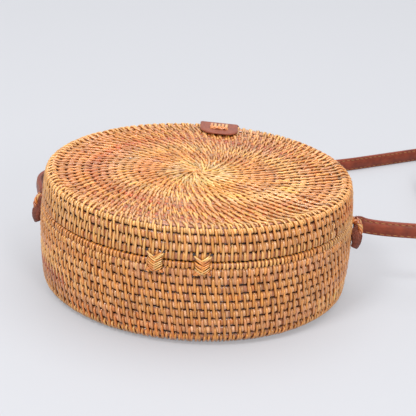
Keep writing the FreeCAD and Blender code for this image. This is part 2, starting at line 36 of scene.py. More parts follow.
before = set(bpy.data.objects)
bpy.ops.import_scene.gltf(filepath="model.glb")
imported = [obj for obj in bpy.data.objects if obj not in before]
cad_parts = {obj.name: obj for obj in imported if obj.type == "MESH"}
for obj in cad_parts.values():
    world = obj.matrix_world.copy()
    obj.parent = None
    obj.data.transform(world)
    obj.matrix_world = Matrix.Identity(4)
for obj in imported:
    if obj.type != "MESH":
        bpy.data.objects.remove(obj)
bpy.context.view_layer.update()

MM = 0.001
TURN = 2 * math.pi
SIDES = (("left", -1), ("right", 1))
rng = np.random.default_rng(11)

# Basket sizes, as in the solids.
BELLY_RADIUS = 102.0
BELLY_HEIGHT = 40.0
BELLY_CURVE = 260.0
TOP = 77.0
SEAM = 56.0
LID_EDGE = 56.3
INSIDE = 95.5
FLOOR_TOP = 4.5
LID_UNDERSIDE = 71.0

# Coil rows and the canes that bind them.
BASE_RIM = 4.0
BASE_ROW = 5.5
FOOT_ROUND = 8.0
FLOOR_LIFT = 0.85
SHOULDER_ROUND = 3.2
CROWN_DROP = 0.6
TOP_ROW = 5.3
FLOOR_ROW = 6.0
LID_ROWS = [5.3, 5.9, 5.7, 5.4]
CANE_RISE = 1.05
CANE_SIDES = 6


def srgb(red, green, blue):
    """Colour as seen on a screen, 0 to 255, to linear light."""
    screen = np.array([red, green, blue], float) / 255
    return np.where(screen <= 0.04045, screen / 12.92, ((screen + 0.055) / 1.055) ** 2.4)


STRAW = srgb(230, 168, 96)
TAN = srgb(219, 144, 68)
ORANGE = srgb(214, 126, 54)
ROSE = srgb(217, 146, 92)
BLUSH = srgb(225, 164, 114)
RUSSET = srgb(184, 98, 50)
CREAM = srgb(246, 206, 138)
CORE = srgb(192, 118, 74)
# Painted shade for the hollows between coil rows and the holes at the plait's corners.
HOLLOW_SHADE = srgb(40, 16, 7)


# Measures that many pieces share


def smooth(x):
    x = np.clip(x, 0, 1)
    return x * x * (3 - 2 * x)


def unit(v):
    return v / np.maximum(np.linalg.norm(v, axis=-1, keepdims=True), 1e-9)


def eased(tuck, reach, at_end):
    """A share that grows from at_end at a cane's tips to 1 where they are at least reach away."""
    return at_end + (1 - at_end) * smooth(tuck / reach)


def edge_round(distance, radius, least=0.04):
    """Share of the full thickness at a distance from a rounded edge."""
    return np.sqrt(np.clip(1 - (1 - np.clip(distance / radius, 0, 1)) ** 2, least, 1))


def lengths(line):
    """Length along a line up to each of its points."""
    return np.concatenate([[0], np.cumsum(np.linalg.norm(np.diff(line, axis=0), axis=1))])


def barrel(z):
    """Outer radius of the basket wall at height z."""
    return BELLY_RADIUS - (z - BELLY_HEIGHT) ** 2 / (2 * BELLY_CURVE)


def turned_points(radius, height, angle):
    radius, height, angle = np.broadcast_arrays(radius, height, angle)
    return np.stack([radius * np.cos(angle), radius * np.sin(angle), height], axis=-1)


# Meshes


def new_piece(name, verts, faces, material, uv=None):
    """A smooth mesh piece from millimetre points, with an optional bake map given per face corner."""
    mesh = bpy.data.meshes.new(name)
    mesh.from_pydata((np.asarray(verts) * MM).tolist(), [], faces)
    mesh.polygons.foreach_set("use_smooth", np.ones(len(mesh.polygons), bool))
    if uv is not None:
        layer = mesh.uv_layers.new(name="OFBake")
        layer.data.foreach_set("uv", np.asarray(uv, np.float32).ravel())
    mesh.materials.append(material)
    piece = bpy.data.objects.new(name, mesh)
    bpy.context.scene.collection.objects.link(piece)
    return piece


def paint(piece, colour=None, grain=None):
    """Stores each point's colour, with any painted shade and highlight it carries, and its place along the
    grain, in millimetres.
    """
    mesh = piece.data
    if colour is not None:
        rgba = np.ones((len(mesh.vertices), 4), np.float32)
        rgba[:, :3] = colour
        layer = mesh.color_attributes.new("shade", "FLOAT_COLOR", "POINT")
        layer.data.foreach_set("color", rgba.ravel())
    if grain is not None:
        layer = mesh.attributes.new("grain", "FLOAT_VECTOR", "POINT")
        layer.data.foreach_set("vector", np.asarray(grain, np.float32).ravel())


def ring_quads(index):
    """Faces of a tube from its grid of point numbers, one row per ring."""
    after = np.roll(index, -1, axis=1)
    return np.stack([index[:-1], after[:-1], after[1:], index[1:]], axis=-1).reshape(-1, 4).tolist()


# Split canes: each is a low arch in section. Its colour is browner at its edges, which is painted shade, and
# creamier on its crest, which is a painted highlight; both are given as shares of its red, green and blue at
# three levels of the arch.

CANE_ARCH = np.linspace(0, math.pi, CANE_SIDES)
CANE_ACROSS = np.cos(CANE_ARCH)
CANE_HEIGHT = np.sin(CANE_ARCH) ** 0.9
TINT_LEVELS = (0.0, 0.62, 0.96)
SHADE_AND_HIGHLIGHT_SHARES = ((0.5, 0.96, 1.05), (0.34, 0.9, 1.1), (0.22, 0.74, 1.1))
CANE_SHADE_AND_HIGHLIGHT = np.stack([np.interp(CANE_HEIGHT, TINT_LEVELS, shares) for shares in SHADE_AND_HIGHLIGHT_SHARES], axis=-1)
GRAIN_SPREAD = 900

# Each cane has a cell in the bake map: width of a cell over its height, margin and filled share,
# and place and size of the cane's two tips in the cell's corner.
CELL_SHAPE = 0.55
CELL_MARGIN = 0.06
CELL_FILL = 0.88
TIP_PLACE = 0.03
TIP_SIZE = 0.02


def cane_cells(corner, rings, sides):
    """Places in the bake map, counted in cells: the faces along each cane, then its two tips."""
    u = np.arange(sides) / sides
    v = np.arange(rings) / (rings - 1)
    place = np.empty((len(corner), rings - 1, sides, 4, 2))
    place[..., 0] = u[None, None, :, None] + np.array([0, 0, 1, 1]) / sides
    place[..., 1] = np.stack([v[:-1], v[1:], v[1:], v[:-1]], axis=-1)[None, :, None]
    along = corner[:, None, None, None] + CELL_MARGIN + CELL_FILL * place
    tip = TIP_PLACE + TIP_SIZE * np.stack([np.cos(CANE_ARCH), np.sin(CANE_ARCH)], axis=-1)
    tips = np.repeat(corner[:, None, None] + tip[None, None], 2, axis=1)
    return along.reshape(-1, 2), tips.reshape(-1, 2)


class Canes:
    """Gathers split canes, each laid along its own line."""

    def __init__(self):
        self.batches = []

    def lay(self, line, normal, width, rise, colour):
        """line, normal and colour are (canes, rings, 3), width and rise (canes, rings)."""
        heading = unit(np.gradient(line, axis=1))
        side = unit(np.cross(heading, normal))
        normal = unit(np.cross(side, heading))
        half = (width / 2)[:, :, None, None] * CANE_ACROSS[None, None, :, None]
        lift = rise[:, :, None, None] * CANE_HEIGHT[None, None, :, None]
        points = line[:, :, None, :] + side[:, :, None, :] * half + normal[:, :, None, :] * lift
        steps = np.linalg.norm(np.diff(line, axis=1), axis=2)
        along = np.concatenate([np.zeros((len(line), 1)), np.cumsum(steps, axis=1)], axis=1)
        grain = np.empty(points.shape)
        grain[..., 0] = half[..., 0]
        grain[..., 1] = along[:, :, None]
        grain[..., 2] = rng.uniform(0, GRAIN_SPREAD, len(line))[:, None, None]
        # Painted shade darkens each cane's edges, and a painted highlight makes its crest creamier.
        shade = colour[:, :, None, :] * CANE_SHADE_AND_HIGHLIGHT[None, None]
        self.batches.append((points, grain, shade))

    def piece(self, name):
        """All the canes as one mesh."""
        total = sum(len(points) for points, grain, shade in self.batches)
        columns = max(1, math.ceil(math.sqrt(total / CELL_SHAPE)))
        rows = math.ceil(total / columns)
        verts, grains, shades, faces, uvs = [], [], [], [], []
        base = 0
        done = 0
        for points, grain, shade in self.batches:
            count, rings, sides = points.shape[:3]
            index = base + np.arange(count * rings * sides).reshape(count, rings, sides)
            after = np.roll(index, -1, axis=2)
            quads = np.stack([index[:, :-1], index[:, 1:], after[:, 1:], after[:, :-1]], axis=-1)
            tips = np.stack([index[:, 0], index[:, -1, ::-1]], axis=1)
            faces += quads.reshape(-1, 4).tolist() + tips.reshape(-1, sides).tolist()
            cell = done + np.arange(count)
            corner = np.stack([cell % columns, cell // columns], axis=-1)
            uvs += [places / [columns, rows] for places in cane_cells(corner, rings, sides)]
            verts.append(points.reshape(-1, 3))
            grains.append(grain.reshape(-1, 3))
            shades.append(shade.reshape(-1, 3))
            base += count * rings * sides
            done += count
        made = new_piece(name, np.concatenate(verts), faces, CANE, np.concatenate(uvs))
        paint(made, np.concatenate(shades), np.concatenate(grains))
        return made


# Outlines that the two baskets are turned from


class Profile:
    """An outline in radius and height, measured along its length; turn_side is the side that faces out."""

    def __init__(self, points, turn_side):
        self.points = np.asarray(points, float)
        self.turn_side = turn_side
        self.along = lengths(self.points)
        self.heading = unit(np.gradient(self.points, self.along, axis=0))

    def at(self, along):
        """Radius, height and the outward normal's radius and height at given lengths."""
        radius, height = [np.interp(along, self.along, self.points[:, i]) for i in (0, 1)]
        ahead_r, ahead_z = [np.interp(along, self.along, self.heading[:, i]) for i in (0, 1)]
        return radius, height, self.turn_side * ahead_z, -self.turn_side * ahead_r

    @property
    def length(self):
        return self.along[-1]


def base_profile():
    """From the seam down the wall, round the foot and in to the middle of the floor."""
    wall = [(barrel(z), z) for z in np.linspace(SEAM, FOOT_ROUND, 60)]
    centre = barrel(FOOT_ROUND) - FOOT_ROUND
    foot = [
        (centre + FOOT_ROUND * math.cos(a), FOOT_ROUND - (FOOT_ROUND - FLOOR_LIFT) * math.sin(a))
        for a in np.linspace(0, math.pi / 2, 20)[1:]
    ]
    floor = [(r, FLOOR_LIFT) for r in np.linspace(centre, 0, 60)[1:]]
    return Profile(wall + foot + floor, turn_side=-1)


HOOP_PROUD = 1.3
HOOP_RADIUS = 95.0
HOOP_SPREAD = 3.2


def hoop_rise(radius):
    """How far the shoulder hoop under the canes lifts the top."""
    return HOOP_PROUD * math.exp(-(((radius - HOOP_RADIUS) / HOOP_SPREAD) ** 2))


def lid_profile():
    """From the lid's edge up the wall, over the shoulder and in to the middle of the top."""
    crown = TOP - CROWN_DROP
    turn = crown - SHOULDER_ROUND
    wall = [(barrel(z), z) for z in np.linspace(LID_EDGE, turn, 40)]
    centre = barrel(turn) - SHOULDER_ROUND
    shoulder = [
        (centre + SHOULDER_ROUND * math.cos(a), turn + SHOULDER_ROUND * math.sin(a))
        for a in np.linspace(0, math.pi / 2, 14)[1:]
    ]
    top = [(r, crown) for r in np.linspace(centre, 0, 60)[1:]]
    over = [(r, z + hoop_rise(r)) for r, z in shoulder + top]
    return Profile(wall + over, turn_side=1)


BASE = base_profile()
LID = lid_profile()
FOOT_ARC = FOOT_ROUND * math.pi / 2


def row_marks(rows):
    """Lengths along an outline at which its coil rows begin and end."""
    return np.concatenate([[0], np.cumsum(rows)])


BASE_MARKS = row_marks([BASE_RIM] + [BASE_ROW] * 8 + [FOOT_ARC / 2] * 2 + [FLOOR_ROW] * 15)
LID_MARKS = row_marks(LID_ROWS + [TOP_ROW] * 18)

# Colour runs: one length of cane binds many stitches before the next is let in.

RUN_SHIFT = 0.07
RUN_WIDTH_STRAY = 0.04
TONE_STRAY = 0.075
BLUE_STRAY = 0.07
WIDTH_STRAY = 0.05


def cane_runs(count, choices, weights, shortest=9, longest=34):
    """A colour and a width for each stitch of a course, in runs, with a little change between stitches."""
    colours = np.empty((count, 3))
    widths = np.empty(count)
    here = 0
    while here < count:
        run = int(rng.integers(shortest, longest))
        pick = int(rng.choice(len(choices), p=weights))
        colour, width = choices[pick]
        colours[here : here + run] = colour * (1 + rng.normal(0, RUN_SHIFT))
        widths[here : here + run] = width * (1 + rng.normal(0, RUN_WIDTH_STRAY))
        here += run
    colours *= 1 + rng.normal(0, TONE_STRAY, (count, 1))
    colours[:, 2] *= 1 + rng.normal(0, BLUE_STRAY, count)
    widths *= 1 + rng.normal(0, WIDTH_STRAY, count)
    return np.clip(colours, 0.005, 0.95), widths


# Colour and width of the canes in each part, and the share of the runs that each takes.
BASE_CANES = [(TAN, 1.9), (STRAW, 1.8), (ORANGE, 1.95), (ROSE, 2.1), (RUSSET, 1.9)]
BASE_WEIGHTS = [0.46, 0.24, 0.1, 0.16, 0.04]
LID_CANES = [(STRAW, 1.7), (TAN, 1.8), (STRAW * 1.1, 1.65), (ORANGE, 1.8)]
LID_WEIGHTS = [0.48, 0.3, 0.14, 0.08]
ROD_TONES = [(BLUSH, 2.5), (ROSE, 2.5), (ROSE * 0.84, 2.5), (ORANGE * 0.92, 2.5)]
ROD_WEIGHTS = [0.5, 0.2, 0.18, 0.12]

# Shares of a stitch's length at which its section is laid.
RINGS = np.array([0, 0.05, 0.13, 0.27, 0.5, 0.73, 0.87, 0.95, 1.0])
FEW_RINGS = np.array([0, 0.09, 0.25, 0.5, 0.75, 0.91, 1.0])
ROD_RINGS = np.array([0, 0.09, 0.3, 0.7, 0.91, 1.0])

# How a stitch lies: level against the outline, swell over each of its two rows, dive of its ends.
STITCH_INSET = 0.5
STITCH_LEVEL = -0.66
STITCH_SWELL = 0.26
STITCH_DIVE = 1.5
DIVE_REACH = 0.13
STITCH_STRAY = 0.16
LEAN_STRAY = 0.035
RISE_STRAY = 0.07
LEAST_RADIUS = 2.0


def spaced(count, phase, loose=0.1):
    """Angles of a course's stitches, not quite even."""
    return (np.arange(count) + phase + rng.normal(0, loose, count)) * TURN / count


def stitch_course(canes, profile, start, end, angles, colours, widths, lean=0.0, rings=RINGS, sway=0.0):
    """One course of stitches: each comes out of the coil, binds two rows and goes in again."""
    count = len(angles)
    jitter = rng.normal(0, STITCH_STRAY, (count, 2))
    first = start + STITCH_INSET + jitter[:, :1]
    last = end - STITCH_INSET + jitter[:, 1:]
    along = first + (last - first) * rings[None]
    radius, height, out_r, out_z = profile.at(along)
    tuck = np.minimum(rings, 1 - rings)
    dive = 1 - smooth(tuck / DIVE_REACH)
    swell = 0.5 - 0.5 * np.cos(2 * TURN * rings)
    level = STITCH_LEVEL + STITCH_SWELL * swell - STITCH_DIVE * dive
    slope = lean + rng.normal(0, LEAN_STRAY, (count, 1))
    offset = slope * (along - (first + last) / 2) + sway * np.sin(TURN * rings)[None]
    angle = angles[:, None] + offset / np.maximum(radius, LEAST_RADIUS)
    line = turned_points(radius + out_r * level, height + out_z * level, angle)
    normal = turned_points(out_r, out_z, angle)
    width = widths[:, None] * eased(tuck, reach=0.16, at_end=0.72)[None]
    rise = CANE_RISE * (1 + rng.normal(0, RISE_STRAY, (count, 1))) * eased(tuck, reach=0.1, at_end=0.8)[None]
    # Painted shade: each stitch darkens towards its ends, where it goes into the coil.
    colour = colours[:, None, :] * eased(tuck, reach=0.11, at_end=0.3)[None, :, None]
    canes.lay(line, normal, width, rise, colour)


# How a bit of rod lies: below the stitches, plump in its middle, to the right of its stitch.
ROD_INSET = 0.7
ROD_LEVEL = -1.75
ROD_SWELL = 0.8
SWELL_REACH = 0.3
ROD_ASIDE = 1.9
ROD_RISE = 0.95
ROD_STRAY = 0.12


def rod_course(canes, profile, row, middle, angles, lean, tones=None):
    """The plump bits of rod seen to the right of each stitch's upper half, one row long."""
    count = len(angles)
    colours, widths = cane_runs(count, ROD_TONES, ROD_WEIGHTS, 1, 5)
    if tones is not None:
        colours = tones * (1 + rng.normal(0, ROD_STRAY, (count, 1)))
    jitter = rng.normal(0, ROD_STRAY, (count, 3))
    first = row[0] + ROD_INSET + jitter[:, :1]
    last = row[1] - ROD_INSET + jitter[:, 1:2]
    along = first + (last - first) * ROD_RINGS[None]
    radius, height, out_r, out_z = profile.at(along)
    tuck = np.minimum(ROD_RINGS, 1 - ROD_RINGS)
    level = ROD_LEVEL + ROD_SWELL * smooth(tuck / SWELL_REACH)
    angle = angles[:, None] + (lean * (along - middle) + ROD_ASIDE + jitter[:, 2:]) / radius
    line = turned_points(radius + out_r * level, height + out_z * level, angle)
    normal = turned_points(out_r, out_z, angle)
    width = widths[:, None] * eased(tuck, reach=0.14, at_end=0.66)[None]
    rise = np.broadcast_to(ROD_RISE * eased(tuck, reach=0.14, at_end=0.55), along.shape)
    # Painted shade: each bit of rod darkens towards its ends, where it sinks under the stitches.
    colour = colours[:, None, :] * eased(tuck, reach=0.12, at_end=0.42)[None, :, None]
    canes.lay(line, normal, width, rise, colour)


RIM_RISE = 0.85
RIM_STRAY = 0.15


def bent_course(canes, outline, angles, colours, widths):
    """Stitches along an outline of radius, height and normal, laid in each stitch's upright plane."""
    radius, height, out_r, out_z = np.asarray(outline, float).T
    count = len(angles)
    rings = len(radius)
    spread = rng.normal(0, RIM_STRAY, (count, 1)) * np.linspace(1, 0, rings)[None]
    line = turned_points(radius, height + spread, angles[:, None])
    normal = turned_points(out_r, out_z, angles[:, None])
    rings_in = np.minimum(np.arange(rings), np.arange(rings)[::-1])
    width = widths[:, None] * eased(rings_in, reach=2.0, at_end=0.75)[None]
    rise = np.full((count, rings), RIM_RISE)
    # Painted shade: each rim stitch darkens towards both ends, where it goes into the wall.
    colour = colours[:, None, :] * eased(rings_in, reach=2.0, at_end=0.35)[None, :, None]
    canes.lay(line, normal, width, rise, colour)


def rim_outline(edge, up, leg):
    """Line of a stitch from the outside of a wall, over its rim to the inside.

    up is 1 for a rim that faces up and -1 for one that faces down; leg is the length outside.
    """

    def outside(drop):
        return barrel(edge - up * drop)

    rows = [(outside(leg) - 1.7, leg + 0.1, 1, 0.3), (outside(leg) - 0.75, leg - 0.45, 1, 0)]
    for share in (0.8, 0.6, 0.4):
        rows.append((outside(leg * share) - 0.42, max(leg * share, 1.6), 1, 0))
    rows += [
        (outside(1) - 0.62, 1.25, 0.95, 0.35),
        (outside(0.8) - 1.3, 0.9, 0.5, 0.85),
        (0.5 * (outside(0) + INSIDE), 0.84, 0, 1),
        (INSIDE + 1.0, 0.92, -0.6, 0.8),
        (INSIDE + 0.35, 1.5, -1, 0.2),
        (INSIDE + 0.2, 4.0, -1, 0),
        (INSIDE + 0.25, 7.2, -1, 0),
        (INSIDE + 1.3, 8.4, -1, 0),
    ]
    return [(r, edge - up * drop, out_r, up * out_z) for r, drop, out_r, out_z in rows]


# Cane, leather, cloth and metal

COLOUR, NUMBER, VECTOR = "NodeSocketColor", "NodeSocketFloat", "NodeSocketVector"


class ShaderTree:
    """The nodes of one material or group, with a short call for each kind that is used here."""

    def __init__(self, tree):
        self.nodes = tree.nodes
        self.links = tree.links

    def feed(self, socket, value):
        """Sets a number or a colour on a socket, or links another node's output to it."""
        if isinstance(value, (int, float)):
            socket.default_value = value
        elif isinstance(value, (tuple, list, np.ndarray)):
            socket.default_value = (*[float(x) for x in value], 1)
        else:
            self.links.new(value, socket)

    def scaled(self, source, factors):
        """A vector with each part multiplied by its own factor."""
        node = self.nodes.new("ShaderNodeVectorMath")
        node.operation = "MULTIPLY"
        node.inputs[1].default_value = factors
        self.links.new(source, node.inputs[0])
        return node.outputs[0]

    def noise(self, vector, scale, detail=2.0, roughness=0.5):
        node = self.nodes.new("ShaderNodeTexNoise")
        node.inputs["Scale"].default_value = scale
        node.inputs["Detail"].default_value = detail
        node.inputs["Roughness"].default_value = roughness
        self.links.new(vector, node.inputs["Vector"])
        return node.outputs["Fac"]

    def ranged(self, value, between, to):
        """A value moved from one range to another, held at both ends."""
        node = self.nodes.new("ShaderNodeMapRange")
        for socket, number in zip(node.inputs[1:5], (*between, *to)):
            socket.default_value = number
        self.links.new(value, node.inputs[0])
        return node.outputs[0]

    def maths(self, kind, first, second):
        node = self.nodes.new("ShaderNodeMath")
        node.operation = kind
        self.feed(node.inputs[0], first)
        self.feed(node.inputs[1], second)
        return node.outputs[0]

    def mixed(self, factor, first, second, kind="MIX"):
        """Two colours mixed; the colour sockets of the node are its seventh and eighth."""
        node = self.nodes.new("ShaderNodeMix")
        node.data_type = "RGBA"
        node.blend_type = kind
        self.feed(node.inputs[0], factor)
        self.feed(node.inputs[6], first)
        self.feed(node.inputs[7], second)
        return node.outputs[2]

    def stored(self, name, output):
        """What paint() has stored under a name."""
        node = self.nodes.new("ShaderNodeAttribute")
        node.attribute_name = name
        return node.outputs[output]

    def place(self):
        return self.nodes.new("ShaderNodeTexCoord").outputs["Object"]

    def bump(self, height, shader, strength, distance):
        node = self.nodes.new("ShaderNodeBump")
        node.inputs["Strength"].default_value = strength
        node.inputs["Distance"].default_value = distance
        self.links.new(height, node.inputs["Height"])
        self.links.new(node.outputs[0], shader.inputs["Normal"])


def new_material(name):
    material = bpy.data.materials.new(name)
    material.use_nodes = True
    return material, ShaderTree(material.node_tree), material.node_tree.nodes["Principled BSDF"]


def new_group(name, inputs, outputs):
    group = bpy.data.node_groups.new(name, "ShaderNodeTree")
    for label, kind in inputs:
        group.interface.new_socket(label, in_out="INPUT", socket_type=kind)
    for label, kind in outputs:
        group.interface.new_socket(label, in_out="OUTPUT", socket_type=kind)
    start = group.nodes.new("NodeGroupInput")
    end = group.nodes.new("NodeGroupOutput")
    return group, ShaderTree(group), start.outputs, end.inputs


def cane_group():
    """Fibres along a split cane: streaks of tone, a waxy skin and fine ridges."""
    group, tree, start, end = new_group(
        "cane_fibres",
        [("Shade", COLOUR), ("Grain", VECTOR)],
        [("Color", COLOUR), ("Roughness", NUMBER), ("Height", NUMBER)],
    )
    streak = tree.noise(tree.scaled(start["Grain"], (3.4, 0.16, 1.0)), scale=1.0, detail=3.0, roughness=0.6)
    blotch = tree.noise(tree.scaled(start["Grain"], (0.5, 0.22, 1.0)), scale=1.0)
    streak_tone = tree.ranged(streak, between=(0.25, 0.75), to=(0.74, 1.2))
    blotch_tone = tree.ranged(blotch, between=(0.25, 0.75), to=(0.84, 1.14))
    tone = tree.maths("MULTIPLY", streak_tone, blotch_tone)
    warmth = tree.nodes.new("ShaderNodeCombineColor")
    for socket, power in zip(warmth.inputs, (0.95, 1.15, 1.35)):
        tree.feed(socket, tree.maths("POWER", tone, power))
    tree.feed(end["Color"], tree.mixed(1.0, start["Shade"], warmth.outputs[0], "MULTIPLY"))
    tree.feed(end["Roughness"], tree.ranged(streak, between=(0.3, 0.7), to=(0.47, 0.34)))
    tree.feed(end["Height"], tree.maths("ADD", streak, tree.maths("MULTIPLY", blotch, 0.5)))
    return group


def leather_group():
    """Smooth dressed leather: fine pores, faint creases and rubbed tone."""
    group, tree, start, end = new_group(
        "leather_grain",
        [("Light", COLOUR), ("Dark", COLOUR), ("Grain", VECTOR)],
        [("Color", COLOUR), ("Roughness", NUMBER), ("Height", NUMBER)],
    )
    pores = tree.nodes.new("ShaderNodeTexVoronoi")
    pores.inputs["Scale"].default_value = 1.9
    tree.feed(pores.inputs["Vector"], start["Grain"])
    cloud = tree.noise(start["Grain"], scale=0.14, detail=4.0, roughness=0.6)
    crease = tree.noise(tree.scaled(start["Grain"], (0.7, 0.12, 0.7)), scale=1.0, detail=3.0, roughness=0.65)
    cloud_tone = tree.ranged(cloud, between=(0.3, 0.7), to=(0.0, 0.7))
    crease_tone = tree.ranged(crease, between=(0.35, 0.65), to=(0.0, 0.3))
    tone = tree.maths("ADD", cloud_tone, crease_tone)
    tree.feed(end["Color"], tree.mixed(tone, start["Dark"], start["Light"]))
    tree.feed(end["Roughness"], tree.ranged(cloud, between=(0.3, 0.7), to=(0.36, 0.5)))
    pore_depth = tree.maths("MULTIPLY", pores.outputs["Distance"], 0.35)
    crease_depth = tree.maths("MULTIPLY", crease, 0.9)
    tree.feed(end["Height"], tree.maths("ADD", pore_depth, crease_depth))
    return group


CANE_FIBRES = cane_group()
LEATHER_GRAIN = leather_group()


def cane_material():
    material, tree, shader = new_material("split_cane")
    fibres = tree.nodes.new("ShaderNodeGroup")
    fibres.node_tree = CANE_FIBRES
    tree.feed(fibres.inputs["Shade"], tree.stored("shade", "Color"))
    tree.feed(fibres.inputs["Grain"], tree.stored("grain", "Vector"))
    tree.feed(shader.inputs["Base Color"], fibres.outputs["Color"])
    tree.feed(shader.inputs["Roughness"], fibres.outputs["Roughness"])
    shader.inputs["Coat Weight"].default_value = 0.9
    shader.inputs["Coat Roughness"].default_value = 0.16
    tree.bump(fibres.outputs["Height"], shader, strength=0.35, distance=0.0003)
    return material


def leather_material(name, light_tone, dark_tone, relief=0.3, depth=0.0004):
    material, tree, shader = new_material(name)
    leather = tree.nodes.new("ShaderNodeGroup")
    leather.node_tree = LEATHER_GRAIN
    tree.feed(leather.inputs["Light"], light_tone)
    tree.feed(leather.inputs["Dark"], dark_tone)
    tree.feed(leather.inputs["Grain"], tree.stored("grain", "Vector"))
    tree.feed(shader.inputs["Base Color"], leather.outputs["Color"])
    tree.feed(shader.inputs["Roughness"], leather.outputs["Roughness"])
    shader.inputs["Specular IOR Level"].default_value = 0.38
    tree.bump(leather.outputs["Height"], shader, relief, depth)
    return material


def thread_material():
    material, tree, shader = new_material("waxed_thread")
    twist = tree.noise(tree.place(), scale=2600.0)
    tree.feed(shader.inputs["Base Color"], tree.mixed(twist, srgb(122, 68, 38), srgb(196, 140, 84)))
    shader.inputs["Roughness"].default_value = 0.6
    tree.bump(twist, shader, strength=0.3, distance=0.0002)
    return material


def cotton_material():
    material, tree, shader = new_material("cotton_lining")
    place = tree.place()
    warp = tree.noise(tree.scaled(place, (1, 0.06, 1)), scale=1500.0, detail=1.0)
    weft = tree.noise(tree.scaled(place, (0.06, 1, 0.06)), scale=1500.0, detail=1.0)
    weave = tree.maths("ADD", warp, weft)
    cloud = tree.noise(place, scale=22.0, detail=3.0)
    weave_tone = tree.ranged(weave, between=(0.7, 1.3), to=(0.0, 0.6))
    cloud_tone = tree.ranged(cloud, between=(0.3, 0.7), to=(0.0, 0.4))
    tone = tree.maths("ADD", weave_tone, cloud_tone)
    tree.feed(shader.inputs["Base Color"], tree.mixed(tone, srgb(176, 150, 116), srgb(216, 195, 162)))
    shader.inputs["Roughness"].default_value = 0.85
    shader.inputs["Sheen Weight"].default_value = 0.2
    tree.bump(weave, shader, strength=0.4, distance=0.0003)
    return material


def brass_material():
    material, tree, shader = new_material("aged_brass")
    place = tree.place()
    spots = tree.noise(place, scale=320.0, detail=4.0, roughness=0.65)
    fine = tree.noise(place, scale=2400.0)
    tarnish = tree.ranged(spots, between=(0.35, 0.7), to=(0, 1))
    tree.feed(shader.inputs["Base Color"], tree.mixed(tarnish, srgb(196, 160, 96), srgb(128, 96, 54)))
    shader.inputs["Metallic"].default_value = 1.0
    tree.feed(shader.inputs["Roughness"], tree.ranged(spots, between=(0.3, 0.7), to=(0.24, 0.46)))
    tree.bump(fine, shader, strength=0.08, distance=0.0001)
    return material


CANE = cane_material()
STRAP_LEATHER = leather_material("strap_leather", srgb(155, 70, 43), srgb(102, 39, 23))
GATHERED_LEATHER = leather_material("gathered_leather", srgb(156, 80, 56), srgb(90, 40, 26), 0.8, 0.001)
CLASP_LEATHER = leather_material("clasp_leather", srgb(164, 92, 68), srgb(124, 60, 44))
THREAD = thread_material()
COTTON = cotton_material()
BRASS = brass_material()


# Rings of the top from its middle out: share of the radius and the cane wound there.

WHEAT = srgb(226, 170, 112)
HONEY = srgb(226, 162, 95)
SAND = srgb(217, 174, 126)
HAZEL = srgb(217, 152, 100)
AMBER = srgb(221, 148, 70)
COPPER = srgb(207, 133, 76)
RUST = srgb(205, 118, 55)
TOP_BANDS = [
    (0.0, WHEAT), (0.1, HONEY), (0.17, SAND), (0.24, HONEY), (0.31, AMBER), (0.38, COPPER), (0.46, HONEY),
    (0.53, WHEAT), (0.6, HAZEL), (0.67, COPPER), (0.73, RUST), (0.79, HONEY), (0.86, COPPER), (0.93, HAZEL),
    (1.0, WHEAT),
]
BAND_PLACES = [place for place, tone in TOP_BANDS]
BAND_TONES = np.array([tone for place, tone in TOP_BANDS])
BAND_CONTRAST = 1.5
BAND_RADIUS = 97.0

# The top's slow change of colour, as shares of red, green and blue; the gain towards the hinge is a painted
# sheen.
TOP_TINT = np.array([0.97, 0.9, 0.72])
LEFT_LOSS = np.array([0.1, 0.22, 0.32])
HINGE_SHEEN = np.array([0.08, 0.16, 0.16])


def top_tint(angle):
    """The top's slow change of colour: redder towards the left, and paler towards the hinge with a painted
    sheen.
    """
    left = np.maximum(0, -np.cos(angle))[..., None] ** 2 * LEFT_LOSS
    # Painted sheen: the side towards the hinge is made paler.
    hinge = np.maximum(0, -np.sin(angle))[..., None] ** 2 * HINGE_SHEEN
    return TOP_TINT * (1 - left) * (1 + hinge)


def top_colour(radius, angle):
    """Rings of differently coloured cane, wound a little off centre and broken into arcs."""
    share = radius / BAND_RADIUS
    drift = 0.05 * np.maximum(0, -np.sin(angle)) ** 2 - 0.14 * np.maximum(0, np.cos(angle)) ** 2
    drift = smooth((share - 0.32) / 0.2) * smooth((0.95 - share) / 0.2) * drift + 0.012 * np.sin(5 * angle)
    spot = np.clip(share + drift, 0, 1)
    colour = np.stack([np.interp(spot, BAND_PLACES, BAND_TONES[:, i]) for i in range(3)], axis=-1)
    middle = BAND_TONES.mean(axis=0)
    colour = np.maximum(middle + BAND_CONTRAST * (colour - middle), 0.02)
    tone = 0.95 + 0.1 * np.sin(2 * angle + 17 * share) * np.sin(31 * share + 1.2)
    return colour * np.asarray(tone)[..., None] * top_tint(np.asarray(angle))


# Cores: the bundles of fibre that the canes bind, turned with one swell per row.

ROD_SHARES = (0, 0.05, 0.13, 0.28, 0.5, 0.72, 0.87, 0.95)
CORE_LEVEL = -2.8
CORE_BULGE = 2.1
CORE_STOP = 2.5
CORE_SLACK = 0.6
CORE_SEGMENTS = 160
TOP_CORE_TINT = np.array([0.9, 0.74, 0.62])


def core_line(profile, marks):
    """Outline of a core in radius and height with its colour, sagging into a hollow between rows that is
    painted dark as shade.
    """
    along, level, shade = [], [], []
    for low, high in zip(marks, marks[1:]):
        for share in ROD_SHARES:
            bulge = math.sqrt(1 - abs(2 * share - 1) ** 3)
            along.append(low + (high - low) * share)
            level.append(CORE_LEVEL + CORE_BULGE * bulge)
            # Painted shade: the core turns dark in the hollow between rows.
            shade.append(HOLLOW_SHADE + (CORE - HOLLOW_SHADE) * float(smooth((bulge - 0.55) / 0.4)))
    along = np.array(along)
    keep = along < profile.length - CORE_STOP
    level = np.array(level)[keep]
    radius, height, out_r, out_z = profile.at(along[keep])
    return np.stack([radius + out_r * level, height + out_z * level], axis=-1), np.array(shade)[keep]


